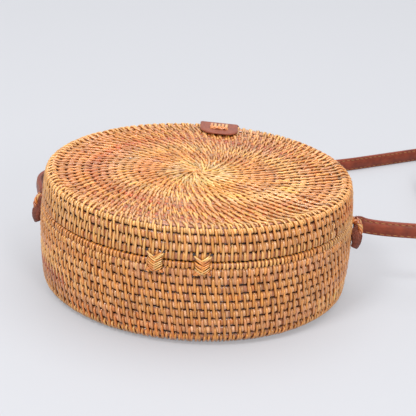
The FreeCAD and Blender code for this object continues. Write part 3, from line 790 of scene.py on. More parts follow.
def core_outline(outer, shade, inside, edge, up):
    """Closed outline of a core with its shades: inside face, bevelled rim and the outer rows."""
    rim = [
        (0, inside),
        (INSIDE + CORE_SLACK, inside),
        (INSIDE + CORE_SLACK, edge - up * 1.6),
        (outer[0, 0] - 1, edge - up * 1.0),
    ]
    outline = np.concatenate([rim, outer, [(0, outer[-1, 1])]])
    return outline, np.concatenate([[CORE] * len(rim), shade, shade[-1:]])


def shell_map(steps, segments):
    """Bake map of a turned shell: its rings of faces unrolled, then the fans at both ends."""
    u = np.arange(segments) / segments
    v = steps / steps[-1]
    next_u = u + 1 / segments
    unrolled = np.empty((len(steps) - 3, segments, 4, 2))
    unrolled[..., 0] = np.stack([u, next_u, next_u, u], axis=-1)[None]
    unrolled[..., 1] = np.stack([v[1:-2], v[1:-2], v[2:-1], v[2:-1]], axis=-1)[:, None]
    fans = np.empty((2, segments, 3, 2))
    fans[0, ..., 0] = np.stack([u, next_u, u], axis=-1)
    fans[1, ..., 0] = np.stack([u, u, next_u], axis=-1)
    fans[0, ..., 1] = v[[0, 1, 1]]
    fans[1, ..., 1] = v[[-1, -2, -2]]
    return np.concatenate([unrolled.reshape(-1, 2), fans.reshape(-1, 2)])


def turned_shell(name, outline, shades, segments=CORE_SEGMENTS):
    """A closed turned shell from an outline that starts and ends on the axis."""
    angles = np.arange(segments) * TURN / segments
    radius, height = outline[1:-1].T
    rings = len(radius)
    body = turned_points(radius[:, None], height[:, None], angles[None]).reshape(-1, 3)
    verts = np.concatenate([body, [[0, 0, outline[0, 1]], [0, 0, outline[-1, 1]]]])
    index = np.arange(rings * segments).reshape(rings, segments)
    after = np.roll(index, -1, axis=1)
    start = np.full(segments, len(verts) - 2)
    end = np.full(segments, len(verts) - 1)
    faces = ring_quads(index)
    faces += np.stack([start, after[0], index[0]], axis=-1).tolist()
    faces += np.stack([end, index[-1], after[-1]], axis=-1).tolist()
    steps = lengths(outline)
    piece = new_piece(name, verts, faces, CANE, shell_map(steps, segments))
    colour = np.concatenate([np.repeat(shades[1:-1], segments, axis=0), shades[[0, -1]]])
    around = np.tile(angles, rings) * np.repeat(radius, segments)
    grain = np.stack([np.repeat(steps[1:-1], segments), around, np.zeros(len(around))], axis=-1)
    paint(piece, colour, np.concatenate([grain, np.zeros((2, 3))]))
    return piece


def base_core():
    outer, shade = core_line(BASE, BASE_MARKS)
    outline, shades = core_outline(outer, shade, FLOOR_TOP, SEAM, 1)
    piece = turned_shell("base_core", outline[::-1], shades[::-1])
    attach(piece, "base")
    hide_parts("base_basket")


def lid_core():
    outer, shade = core_line(LID, LID_MARKS)
    flat = outer[:, 0] < HOOP_RADIUS
    shade[flat] *= TOP_CORE_TINT * top_colour(outer[flat, 0], 0.0) / CORE
    outline, shades = core_outline(outer, shade, LID_UNDERSIDE, LID_EDGE, -1)
    piece = turned_shell("lid_core", outline, shades)
    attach(piece, "lid")
    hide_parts("lid_basket", "lid_shoulder_hoop")


# Canes of the base: overcast rim, wall courses, foot and floor.

WALL_STITCHES = 120
RIM_STITCHES = 236
WALL_ROWS = 8
FOOT_MARK = 9
FLOOR_MARK = 10
BASE_ROW_SHIFT = 0.455
BASE_LEAN = 0.14
FLOOR_LEAN = 0.3
FLOOR_SPACING = 5.6
FLOOR_SHORTEST = 3.0
FEWEST_STITCHES = 7


def ride_canes(canes, name, body):
    piece = canes.piece(name)
    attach(piece, body)
    return piece


def base_wall():
    wall, rods = Canes(), Canes()
    rim = rim_outline(SEAM, 1, BASE_RIM + 0.2)
    colours, widths = cane_runs(RIM_STITCHES, BASE_CANES, BASE_WEIGHTS)
    bent_course(wall, rim, spaced(RIM_STITCHES, 0, 0.12), colours, widths * 0.98)
    start, end = BASE_MARKS[1:3]
    colours, widths = cane_runs(WALL_STITCHES, BASE_CANES, BASE_WEIGHTS)
    stitch_course(wall, BASE, start, end, spaced(WALL_STITCHES, 0), colours, widths, rings=FEW_RINGS)
    start, end = BASE_MARKS[FOOT_MARK], BASE_MARKS[FOOT_MARK + 2]
    for phase in (0.315, 0.815):
        colours, widths = cane_runs(WALL_STITCHES, LID_CANES, LID_WEIGHTS)
        angles = spaced(WALL_STITCHES, BASE_ROW_SHIFT * WALL_ROWS + phase, 0.05)
        stitch_course(wall, BASE, start, end, angles, colours, widths * 0.95)
    for k in range(1, WALL_ROWS + 1):
        start, middle, end = BASE_MARKS[k : k + 3]
        colours, widths = cane_runs(WALL_STITCHES, BASE_CANES, BASE_WEIGHTS)
        angles = spaced(WALL_STITCHES, BASE_ROW_SHIFT * k)
        stitch_course(wall, BASE, start, end, angles, colours, widths, lean=BASE_LEAN)
        rod_course(rods, BASE, (start, middle), middle, angles, BASE_LEAN)
    ride_canes(wall, "base_wall_canes", "base")
    ride_canes(rods, "base_wall_rods", "base")


def base_floor():
    floor = Canes()
    for k in range(FLOOR_MARK, len(BASE_MARKS) - 2):
        start = BASE_MARKS[k]
        end = min(BASE_MARKS[k + 2], BASE.length - 0.8)
        if end - start < FLOOR_SHORTEST:
            break
        radius = float(BASE.at((start + end) / 2)[0])
        count = max(FEWEST_STITCHES, int(round(TURN * radius / FLOOR_SPACING)))
        colours, widths = cane_runs(count, BASE_CANES, BASE_WEIGHTS)
        angles = spaced(count, 0.5 * (k % 2))
        stitch_course(floor, BASE, start, end, angles, colours, widths, lean=FLOOR_LEAN, rings=FEW_RINGS)
    ride_canes(floor, "base_floor_canes", "base")


# Canes of the lid: edge, wall rows, shoulder and the swirl of the top.

LID_ROW_SHIFT = -0.47
LID_LEAN = -0.15
SHOULDER_MARK = 4
TOP_LEAN = -0.4
TOP_SWAY = -0.28
TOP_CANE = 1.45
TOP_SPACING = ((15, 45, 60, 80), (4.0, 4.3, 5.0, 5.3))
TOP_SHORTEST = 2.5
TOP_STRAY = 0.15
TOP_BLUE_STRAY = 0.16
TOP_WIDTH_STRAY = 0.1
INFILL_TINT = np.array([0.92, 0.8, 0.57])
INFILL_LEAST = 12


def lid_wall():
    wall, rods = Canes(), Canes()
    colours, widths = cane_runs(WALL_STITCHES, LID_CANES, LID_WEIGHTS)
    short_edge = rim_outline(LID_EDGE, -1, LID_MARKS[1])
    bent_course(wall, short_edge, spaced(WALL_STITCHES, 0.5), colours, widths * 1.1)
    colours, widths = cane_runs(WALL_STITCHES, LID_CANES, LID_WEIGHTS)
    long_edge = rim_outline(LID_EDGE, -1, LID_MARKS[2] - 0.5)
    angles = spaced(WALL_STITCHES, 0.0)
    bent_course(wall, long_edge, angles, colours, widths * 1.05)
    rod_course(rods, LID, LID_MARKS[1:3], LID_MARKS[1], angles, 0.0)
    rod_tones = {1: None, 2: np.tile(STRAW * 0.9, (WALL_STITCHES, 1))}
    for k in range(1, SHOULDER_MARK):
        colours, widths = cane_runs(WALL_STITCHES, LID_CANES, LID_WEIGHTS)
        angles = spaced(WALL_STITCHES, LID_ROW_SHIFT * k)
        stitch_course(wall, LID, LID_MARKS[k], LID_MARKS[k + 2], angles, colours, widths, lean=LID_LEAN)
        if k in rod_tones:
            row = LID_MARKS[k + 1 : k + 3]
            rod_course(rods, LID, row, row[0], angles, LID_LEAN, rod_tones[k])
    ride_canes(wall, "lid_wall_canes", "lid")
    ride_canes(rods, "lid_wall_rods", "lid")


def lid_top():
    top, infill = Canes(), Canes()
    last_mark = len(LID_MARKS) - 1
    for k in range(SHOULDER_MARK, last_mark):
        start = LID_MARKS[k]
        end = min(LID_MARKS[min(k + 2, last_mark)], LID.length - 0.4)
        if end - start < TOP_SHORTEST:
            break
        radius = float(LID.at((start + end) / 2)[0])
        count = max(FEWEST_STITCHES, int(round(TURN * radius / np.interp(radius, *TOP_SPACING))))
        angles = spaced(count, 0.5 * (k % 2))
        ring_colour = top_colour(np.full(count, radius), angles)
        colours = 0.86 * ring_colour + 0.22 * CREAM * top_tint(angles)
        colours *= 1 + rng.normal(0, TOP_STRAY, (count, 1))
        colours[:, 2] *= 1 + rng.normal(0, TOP_BLUE_STRAY, count)
        colours = np.clip(colours, 0.01, 0.95)
        widths = TOP_CANE * (1 + rng.normal(0, TOP_WIDTH_STRAY, count))
        stitch_course(top, LID, start, end, angles, colours, widths, lean=TOP_LEAN, sway=TOP_SWAY)
        if radius > INFILL_LEAST:
            row = (end - 0.5 * (end - start), end)
            rod_course(infill, LID, row, (start + end) / 2, angles, TOP_LEAN, ring_colour * INFILL_TINT)
    ride_canes(top, "lid_top_canes", "lid")
    ride_canes(infill, "lid_top_rods", "lid")


# Strap: one length of padded leather on edge, from the left knot round the back to the right knot.

ON_TABLE = 5.4
COIL_CENTRE = np.array([205.0, 214.0])
COIL_TURN = math.radians(7)
COIL_BEND = 21.0
COIL_PITCH = 5.4

BACK_ROUTE = [
    (-104.8, 5.75, 47.0), (-109, 18.5, 46.8), (-114.5, 38, 45), (-112, 66, 40.5), (-100, 102, 32),
    (-79, 138, 21.5), (-48, 170, 12.5), (-8, 193, 7.4), (44, 212, ON_TABLE), (90, 234, ON_TABLE),
    (127, 260, ON_TABLE), (162, 285, ON_TABLE), (194, 303, ON_TABLE), (224, 299, ON_TABLE),
    (242, 281, ON_TABLE), (247.2, 258.5, ON_TABLE),
]
FRONT_ROUTE = [
    (104.8, 5.75, 47.0), (105.4, 9.8, 46.7), (110.8, 12.2, 43.8), (127, 12.4, 43), (148, 13.6, 43),
    (171, 24, 39.5), (184, 48, 32.5), (184, 84, 22.5), (175.5, 127, 12.5), (163.6, 171.5, 6.6),
]

# Half of the strap's section: place across its width and half thickness, swollen between the seams.
STRAP_HALF = [
    (0.0, 2.0), (1.7, 1.9), (3.2, 1.56), (3.85, 1.2), (4.35, 1.36), (4.8, 1.2), (5.12, 0.7), (5.2, 0.0),
]


def coil_points(per_half=9):
    """Control points of the coil: an S of two half turns, each end wound on round the other."""
    along = np.array([math.cos(COIL_TURN), math.sin(COIL_TURN)])
    across = np.array([-math.sin(COIL_TURN), math.cos(COIL_TURN)])
    swell = 1 + (math.pi / (2 * per_half)) ** 2 / 3
    arm = []
    start = 0.0
    for end, side in ((2 * COIL_BEND, 1), (-2 * COIL_BEND - COIL_PITCH, -1)):
        middle = (start + end) / 2
        radius = abs(end - start) / 2 * swell
        for k in range(per_half):
            a = math.pi * (k + 0.5) / per_half
            arm.append(along * (middle - side * radius * math.cos(a)) - across * side * radius * math.sin(a))
        start = end
    other = [-p for p in reversed(arm)]
    return [(*(COIL_CENTRE + p), ON_TABLE) for p in other + arm]


def route_line(points, steps=10):
    """Points along a smooth spline that has the route as its control points, in metres."""
    curve = bpy.data.curves.new("route", "CURVE")
    curve.dimensions = "3D"
    curve.resolution_u = steps
    spline = curve.splines.new("NURBS")
    spline.points.add(len(points) - 1)
    for point, place in zip(spline.points, points):
        point.co = (*[x * MM for x in place], 1)
    spline.order_u = 3
    spline.use_endpoint_u = True
    holder = bpy.data.objects.new("route", curve)
    mesh = bpy.data.meshes.new_from_object(holder)
    line = np.array([v.co for v in mesh.vertices])
    bpy.data.objects.remove(holder)
    bpy.data.curves.remove(curve)
    bpy.data.meshes.remove(mesh)
    return line


def even_line(points, rings):
    """Evenly spaced points along a route's spline, in millimetres, and the lengths up to them."""
    line = route_line(points) / MM
    steps = lengths(line)
    along = np.linspace(0, steps[-1], rings)
    return np.stack([np.interp(along, steps, line[:, i]) for i in range(3)], axis=-1), along


def strap_frame(line, up=(0, 0, 1.0)):
    """Sideways and upward directions of a strap along a line, on edge unless told otherwise."""
    heading = unit(np.gradient(line, axis=0))
    side = unit(np.cross(np.asarray(up), heading))
    return side, np.cross(heading, side)


def section_loop():
    """The strap's whole section, once round."""
    front = [(-across, deep) for across, deep in STRAP_HALF[:0:-1]] + STRAP_HALF
    back = [(across, -deep) for across, deep in front[-2:0:-1]]
    return np.array(front + back)


# A strap's bake map: filled share of a lane's width, where its faces start and how far they reach,
# and place, size and distance of the two end faces.
LANE_FILL = 0.94
LANE_START = 0.02
LANE_REACH = 0.9
END_PLACE = 0.985
END_SIZE = 0.008
END_APART = 0.03


def strap_map(steps, loop):
    """Bake map of a strap: its length cut into lanes side by side, and its ends in a corner."""
    girth = lengths(np.vstack([loop, loop[:1]]))
    lanes = max(1, int(round(math.sqrt(steps[-1] / girth[-1]))))
    lane_length = steps[-1] / lanes
    lane = np.minimum((steps[:-1] / lane_length).astype(int), lanes - 1)
    across = girth / girth[-1] * LANE_FILL / lanes
    low = (steps[:-1] - lane * lane_length) / lane_length
    high = (steps[1:] - lane * lane_length) / lane_length
    uv = np.empty((len(steps) - 1, len(loop), 4, 2))
    uv[..., 0] = np.stack([across[:-1], across[1:], across[1:], across[:-1]], axis=-1)[None]
    uv[..., 0] += lane[:, None, None] / lanes
    uv[..., 1] = LANE_START + LANE_REACH * np.stack([low, low, high, high], axis=-1)[:, None]
    spin = np.linspace(0, TURN, len(loop), endpoint=False)
    disc = END_PLACE + END_SIZE * np.stack([np.cos(spin), np.sin(spin)], axis=-1)
    return np.concatenate([uv.reshape(-1, 2), disc[::-1], disc - [END_APART, 0]])


def strap_mesh(name, line, width_scale, thick_scale, up=(0, 0, 1.0), gathers=1.0, leather=STRAP_LEATHER):
    """A strap swept along a line in millimetres, closed at both ends; gathers crowds its grain."""
    loop = section_loop()
    side, rise = strap_frame(line, up)
    sides = len(loop)
    rings = len(line)
    across = loop[None, :, 0, None] * rise[:, None, :] * width_scale[:, None, None]
    deep = loop[None, :, 1, None] * side[:, None, :] * thick_scale[:, None, None]
    verts = line[:, None, :] + across + deep
    index = np.arange(rings * sides).reshape(rings, sides)
    faces = ring_quads(index) + [index[0][::-1].tolist(), index[-1].tolist()]
    steps = lengths(line)
    piece = new_piece(name, verts.reshape(-1, 3), faces, leather, strap_map(steps, loop))
    grain = np.empty((rings, sides, 3))
    grain[..., 0] = loop[None, :, 0] * gathers
    grain[..., 1] = steps[:, None]
    grain[..., 2] = loop[None, :, 1] * 3
    paint(piece, grain=grain.reshape(-1, 3))
    return piece


# Seams of the strap: place across its width, level of the thread, and the stitches themselves.
SEAM_PLACE = 3.85
SEAM_LEVEL = 1.28
SEAM_PITCH = 4.4
SEAM_STITCH = 3.2
SEAM_SLANT = 0.35
THREAD_HALF = 0.33
THREAD_FLAT = 0.85
THREAD_SIDES = 6
THREAD_SHARES = np.array([0.0, 0.12, 0.35, 0.65, 0.88, 1.0])
THREAD_DROOP = np.array([-0.45, -0.05, 0.06, 0.06, -0.05, -0.45])


def seam_threads(name, line):
    """Rows of slightly slanted thread stitches along both edges and both faces of a strap."""
    side, rise = strap_frame(line)
    steps = lengths(line)
    free = steps[-1] - SEAM_STITCH
    count = int(free / SEAM_PITCH)
    along = ((np.arange(count) + 0.5) * free / count)[:, None] + SEAM_STITCH * THREAD_SHARES[None]

    def on_stitches(field):
        return np.stack([np.interp(along, steps, field[:, i]) for i in range(3)], axis=-1)

    here, out, up = on_stitches(line), on_stitches(side), on_stitches(rise)
    spin = np.linspace(0, TURN, THREAD_SIDES, endpoint=False)
    wide = (THREAD_HALF * np.cos(spin))[None, None, :, None]
    tall = (THREAD_HALF * THREAD_FLAT * np.sin(spin))[None, None, :, None]
    level = (SEAM_LEVEL + THREAD_DROOP)[None, :, None]
    verts, faces = [], []
    base = 0
    for edge in (-1, 1):
        for face in (-1, 1):
            slant = (THREAD_SHARES - 0.5)[None, :, None] * SEAM_SLANT * face
            centre = here + up * (edge * SEAM_PLACE + slant) + out * face * level
            points = centre[:, :, None] + up[:, :, None] * wide + (out * face)[:, :, None] * tall
            index = base + np.arange(points.size // 3).reshape(points.shape[:3])
            after = np.roll(index, -1, axis=2)
            quads = np.stack([index[:, :-1], after[:, :-1], after[:, 1:], index[:, 1:]], axis=-1)
            tips = np.concatenate([index[:, 0, ::-1], index[:, -1]])
            if face > 0:
                quads, tips = quads[..., ::-1], tips[:, ::-1]
            faces += quads.reshape(-1, 4).tolist() + tips.tolist()
            verts.append(points.reshape(-1, 3))
            base += points.size // 3
    return new_piece(name, np.concatenate(verts), faces, THREAD)


def strap():
    route = BACK_ROUTE + coil_points() + FRONT_ROUTE[::-1]
    metres = route_line(route)
    line = metres / MM
    even = np.ones(len(line))
    piece = strap_mesh("strap", line, even, even)
    threads = seam_threads("strap_threads", line)
    for made in (piece, threads):
        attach(made, "base")
    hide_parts("strap_back_run", "strap_coil", "strap_front_run")


TAIL_ROUTE = [
    (104.8, 6.0, 47.0), (104.8, 2.0, 46.4), (105.0, -3.0, 44.8), (105.6, -7.2, 43.2), (105.6, -9.6, 40.8),
    (105.0, -10.4, 38.8), (104.2, -10.8, 37.2),
]
TAIL_RINGS = 84
TAIL_DROP = {"left": 1.6, "right": 0.0}
TAIL_TIP = 1.1
CREASE_PITCH = 1.9
TAIL_GATHERS = 3.5


def strap_ends():
    """Each end comes out under its knot, twists its face to the front and hangs down as a creased tongue."""
    for side, sign in SIDES:
        route = [(sign * x, y, z - TAIL_DROP[side] * (y < 0)) for x, y, z in TAIL_ROUTE]
        line, along = even_line(route, TAIL_RINGS)
        total = along[-1]
        twist = smooth((along - 6) / (total - 15))[:, None]
        up = unit((1 - twist) * np.array([0, 0, 1.0]) + twist * np.array([-0.72 * sign, -0.7, 0.0]))
        hanging = smooth((along - 9) / 5)
        narrowing = 0.18 * smooth(along / 9) + 0.2 * smooth((along - 10) / (total - 9))
        tip = edge_round(total - along, TAIL_TIP, least=0.03)
        crease = np.sin(TURN * along / CREASE_PITCH + 0.8 * np.sin(along)) * hanging
        wide = (1 - narrowing) * (0.8 + 0.2 * tip) * (1 + 0.012 * crease) * (1 - 0.06 * hanging)
        thick = (1 - 0.2 * hanging) * (0.35 + 0.65 * tip) * (1 + 0.07 * crease)
        piece = strap_mesh(f"strap_end_{side}", line, wide, thick, up, TAIL_GATHERS, GATHERED_LEATHER)
        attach(piece, "base")
        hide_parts(f"strap_tail_{side}")


# Knots: canes wound over the strap's ends and twisted.

KNOT_ROUTE = [
    (96.6, 2.6, 48.6), (100.0, 2.4, 50.4), (103.6, 1.8, 51.0), (106.4, 0.8, 50.0), (107.6, -0.6, 47.4),
    (107.6, -1.8, 44.6), (106.4, -2.8, 42.0), (103.6, -3.2, 40.8), (100.0, -3.0, 41.2), (96.6, -2.8, 43.0),
]
KNOT_RINGS = 57
KNOT_DROP = {"left": 1.2, "right": 0.0}
KNOT_SHIFTS = ((0.0, -0.8, 0.0), (-0.3, 2.4, 0.6))
KNOT_TONES = [ORANGE * 1.1, STRAW * 0.9, RUSSET, TAN * 0.9, ORANGE * 0.95, RUSSET * 1.1]
KNOT_CANE = 2.1
KNOT_RISE = 1.0
TWIST_PITCH = 8
TWIST_OFFSET = 0.85

# Frayed cane tips above each knot: place of the foot and sideways lean.
FRAYED = ((103.2, 2.6, 0.5), (105.0, 1.4, -0.4))
FRAYED_FOOT = 51.2


def knot_cords(canes, side, sign):
    """Two cords of three twisted canes, looped side by side over the strap and down into the wall."""
    lines, normals, colours = [], [], []
    for turn, (out_shift, side_shift, up_shift) in enumerate(KNOT_SHIFTS):
        lift = up_shift - KNOT_DROP[side]
        route = [(sign * (x + out_shift), y + side_shift, z + lift) for x, y, z in KNOT_ROUTE]
        spine, along = even_line(route, KNOT_RINGS)
        heading = unit(np.gradient(spine, axis=0))
        out = unit(np.cross(heading, np.array([0, 1.0, 0])))
        over = np.cross(out, heading)
        for strand in range(3):
            turns = (1 - 2 * turn) * along / TWIST_PITCH + strand / 3 + 0.4 * turn
            spin = TURN * turns[:, None]
            normal = np.cos(spin) * out + np.sin(spin) * over
            lines.append(spine + TWIST_OFFSET * normal)
            normals.append(normal)
            colours.append(np.tile(KNOT_TONES[3 * turn + strand], (KNOT_RINGS, 1)))
    even = np.ones((len(lines), KNOT_RINGS))
    colours = np.clip(np.array(colours), 0.01, 0.9)
    canes.lay(np.array(lines), np.array(normals), KNOT_CANE * even, KNOT_RISE * even, colours)


def frayed_tips(canes, side, sign):
    t = np.linspace(0, 1, 7)
    height = FRAYED_FOOT - KNOT_DROP[side] + 4.0 * t - 0.8 * t**2
    lines = [np.stack([sign * (x + lean * t * 2), y + 0.4 * t, height], axis=-1) for x, y, lean in FRAYED]
    shape = (len(FRAYED), len(t))
    facing = np.tile([0, -1.0, 0], (*shape, 1))
    width = np.tile(0.9 - 0.6 * t, (len(FRAYED), 1))
    canes.lay(np.array(lines), facing, width, np.full(shape, 0.3), np.tile(RUSSET * 0.6, (*shape, 1)))


def knot(side, sign):
    canes = Canes()
    knot_cords(canes, side, sign)
    frayed_tips(canes, side, sign)
    piece = ride_canes(canes, f"knot_canes_{side}", "base")
    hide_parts(f"strap_knot_{side}")


# Hinge lashings: canes plaited over the seam, whose ends go in through the wall above and below.

LASHING_ANGLE = math.radians(8)
LASHING_HALF = 4.5
LASHING_LOW = 49.2
LASHING_HIGH = 60.2
LASHING_TALL = LASHING_HIGH - LASHING_LOW
PLAIT_ROWS = 5
PLAIT_SEEDS = {"left": 317, "right": 311}
PLAIT_RINGS = 17
PLAIT_SHARES = np.linspace(0, 1, PLAIT_RINGS)
PLAIT_INNER = -1.5
PLAIT_CLIMB = 3.3
ROW_CUT = 0.42
PLAIT_TONES = [
    srgb(238, 164, 84), srgb(226, 140, 62), srgb(246, 190, 116), srgb(214, 126, 56), srgb(234, 152, 72),
]

# Strands at the corners: way they go, edge they reach, start beside and below it, climb and tone.
CORNERS = (
    (1, LASHING_HIGH, 0.6, -2.6, 2.9, PLAIT_TONES[2]),
    (-1, LASHING_LOW, 2.6, -1.6, 2.3, PLAIT_TONES[3]),
)


class Plait:
    """Gathers the strands of one lashing, placed sideways of its bearing, by height and above the wall."""

    def __init__(self, bearing):
        self.bearing = bearing
        self.strands = []

    def add(self, x, z, level, tone, width, rise):
        t = PLAIT_SHARES
        radius = barrel(z) + level
        angle = self.bearing + x / radius
        line = turned_points(radius, z, angle)
        normal = turned_points(1.0, 0.0, angle)
        taper = 0.55 + 0.45 * np.sin(math.pi * np.clip(0.12 + 0.8 * t, 0, 1))
        # Painted shade: each strand darkens towards its ends.
        shade = eased(np.minimum(t, 1 - t), reach=0.16, at_end=0.3)
        colour = np.clip(tone * shade[:, None], 0.005, 0.95)
        self.strands.append((line, normal, width * taper, np.full(PLAIT_RINGS, rise), colour))

    def piece(self, name):
        canes = Canes()
        canes.lay(*[np.array(field) for field in zip(*self.strands)])
        return canes.piece(name)


def plait_shade(plait):
    """A dark sheet under the strands, painted shade that is seen between them."""
    t = PLAIT_SHARES
    z = LASHING_LOW + 0.6 + (LASHING_TALL - 2.4) * t
    # Painted shade: a near-black sheet laid under the plait.
    plait.add(0 * t, z, 0.1, RUSSET * 0.22, 2 * LASHING_HALF - 1.2, 0.25)


def herringbone(plait, draws):
    """Strands from the middle up and out to both sides; those of the lowest rows are cut short."""
    t = PLAIT_SHARES
    pitch = (LASHING_TALL - 3.4) / PLAIT_ROWS
    level = 0.1 + 1.15 * np.sin(math.pi * (0.1 + 0.82 * t)) - 0.9 * smooth((t - 0.86) / 0.14)
    for row in range(-2, PLAIT_ROWS + 1):
        cut = ROW_CUT * max(0, -row)
        share = cut + (1 - cut) * t
        for hand in (-1, 1):
            outer = LASHING_HALF - 0.3 + draws.uniform(-0.4, 0.3)
            x = hand * (PLAIT_INNER + (outer - PLAIT_INNER) * share)
            foot = LASHING_LOW + 0.2 + pitch * (row + 0.25 * hand)
            z = foot + (PLAIT_CLIMB + draws.uniform(-0.5, 0.5)) * share**1.25
            tone = PLAIT_TONES[draws.integers(len(PLAIT_TONES))] * draws.uniform(0.8, 1.15)
            plait.add(x, z, level, tone, draws.uniform(1.1, 1.3), 1.0)


def corner_strands(plait):
    """Outer strands drawn to the four corners, each into a hole that is a dark strand of painted shade."""
    t = PLAIT_SHARES
    level = 0.6 + 0.8 * np.sin(math.pi * (0.2 + 0.6 * t)) - 1.5 * smooth((t - 0.84) / 0.16)
    for up, edge, inner, below, climb, tone in CORNERS:
        z = edge + up * (below + climb * t)
        hole = edge + up * 1.2 + (t - 0.5) * 1.7
        for hand in (-1, 1):
            plait.add(hand * (inner + (LASHING_HALF + 0.6 - inner) * t), z, level, tone, 1.4, 0.8)
            # Painted shade: a dark strand stands for each corner hole.
            plait.add(hand * (LASHING_HALF + 0.7 + 0.3 * (t - 0.5)), hole, 0.75, HOLLOW_SHADE, 1.6, 0.15)


def lashing(side, sign):
    """A herringbone plait of canes down the seam, its outer strands drawn into holes at the corners."""
    plait = Plait(-math.pi / 2 + sign * LASHING_ANGLE)
    plait_shade(plait)
    herringbone(plait, np.random.default_rng(PLAIT_SEEDS[side]))
    corner_strands(plait)
    piece = plait.piece(f"hinge_plait_{side}")
    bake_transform(piece)
    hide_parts(f"hinge_lashing_{side}")


# Clasp: one strip of leather sewn to the lid, folded over the shoulder to the press stud.

CLASP_TURN = math.radians(-4)
CLASP_HALF = 13.5
LEATHER = 2.6
TAB_LEATHER = 1.6
TAB_BASE = 77.3
TAB_FRONT = 75.6
TAB_ROUND = 9.5
FLAP_FACE = 106.1
FLAP_END = 33.0
FLAP_ROUND = 11.0
BEND_AT = (96.7, 73.2)
SHOULDER_BEND = math.radians(62)
LOWER_BEND = 40.0
FOLD_LINE = 98.6
FOLD_HEIGHT = TAB_BASE + LEATHER / 2
FLAP_LIFT = math.radians(6)
STRIP_RIM = 1.1
STRIP_ACROSS = np.array([0, 0.04, 0.1, 0.2, 0.35, 0.5, 0.65, 0.8, 0.9, 0.96, 1.0]) * 2 - 1

# How far the hand-sewn strip strays to one side, by the difference of its reach and its height.
SKEW_PLACES = (TAB_FRONT - 79, 97 - 77, FLAP_FACE - 52, FLAP_FACE - 33)
SKEW_SHIFTS = (0.2, -3.4, 0.0, 0.0)


def about_z(points, angle):
    c, s = math.cos(angle), math.sin(angle)
    x, y = points[..., 0], points[..., 1]
    return np.stack([c * x - s * y, s * x + c * y, points[..., 2]], axis=-1)


def clasp_skew(y, z):
    return np.interp(y - z, SKEW_PLACES, SKEW_SHIFTS)


def clasp_path():
    """Middle line of the strip with its normal: along the lid, round the shoulder and down past the stud."""
    y, z, a = TAB_FRONT, TAB_BASE + TAB_LEATHER / 2, 0.0
    bend = z - BEND_AT[1]
    face = FLAP_FACE + LEATHER / 2
    rest = math.pi / 2 - SHOULDER_BEND
    slope_sin, slope_cos = math.sin(SHOULDER_BEND), math.cos(SHOULDER_BEND)
    lead = (face - BEND_AT[0] - bend * slope_sin - LOWER_BEND * (1 - slope_sin)) / slope_cos
    low = BEND_AT[1] + bend * slope_cos - lead * slope_sin - LOWER_BEND * slope_cos
    runs = [
        (BEND_AT[0] - TAB_FRONT, 0.0, 44),
        (bend * SHOULDER_BEND, SHOULDER_BEND, 16),
        (lead, 0.0, 5),
        (LOWER_BEND * rest, rest, 18),
        (low - FLAP_END, 0.0, 34),
    ]
    path = [(y, z, 0.0, 1.0)]
    for length, turn, count in runs:
        half = turn / count / 2
        step = length / count * (math.sin(half) / half if half else 1)
        for _ in range(count):
            a += half
            y += step * math.cos(a)
            z -= step * math.sin(a)
            a += half
            path.append((y, z, math.sin(a), math.cos(a)))
    return np.array(path)


def rounded_end(half, distance, radius):
    """Draws half widths in over a round end, given each one's distance from that end."""
    near = distance < radius
    half[near] -= radius - np.sqrt(np.maximum(radius**2 - (radius - distance[near]) ** 2, 0))


def strip_lift(steps):
    """Half thickness of the strip over its length and width, rounded at every edge."""
    inset = CLASP_HALF - np.abs(STRIP_ACROSS) * CLASP_HALF
    thin = edge_round(inset, STRIP_RIM)
    taper = edge_round(np.minimum(steps, steps[-1] - steps), STRIP_RIM)
    deep = TAB_LEATHER + (LEATHER - TAB_LEATHER) * smooth((steps - 31) / 14)
    return np.maximum(np.minimum(thin[None, :], taper[:, None]) * deep[:, None] / 2, 0.22)


def flap_lifted(verts):
    """The strip with its flap turned out about the fold line, as it rests when the stud is open."""
    share = smooth((verts[:, 1] - (FOLD_LINE - 1.2)) / 2.4)
    share[verts[:, 2] < FOLD_HEIGHT - 3] = 1.0
    out, up = verts[:, 1] - FOLD_LINE, verts[:, 2] - FOLD_HEIGHT
    c, s = np.cos(FLAP_LIFT * share), np.sin(FLAP_LIFT * share)
    return np.stack([verts[:, 0], FOLD_LINE + c * out - s * up, FOLD_HEIGHT + s * out + c * up], axis=-1)


def strip_faces(rings, across):
    """Faces of a closed strip whose upper points come first and whose lower points follow."""
    top = np.arange(rings * across).reshape(rings, across)
    under = top + rings * across
    walls = [
        (top[:-1, :-1], top[:-1, 1:], top[1:, 1:], top[1:, :-1]),
        (under[:-1, :-1], under[1:, :-1], under[1:, 1:], under[:-1, 1:]),
        (top[:-1, 0], top[1:, 0], under[1:, 0], under[:-1, 0]),
        (top[:-1, -1], under[:-1, -1], under[1:, -1], top[1:, -1]),
        (top[0, :-1], under[0, :-1], under[0, 1:], top[0, 1:]),
        (top[-1, :-1], top[-1, 1:], under[-1, 1:], under[-1, :-1]),
    ]
    return [face for wall in walls for face in np.stack(wall, axis=-1).reshape(-1, 4).tolist()]


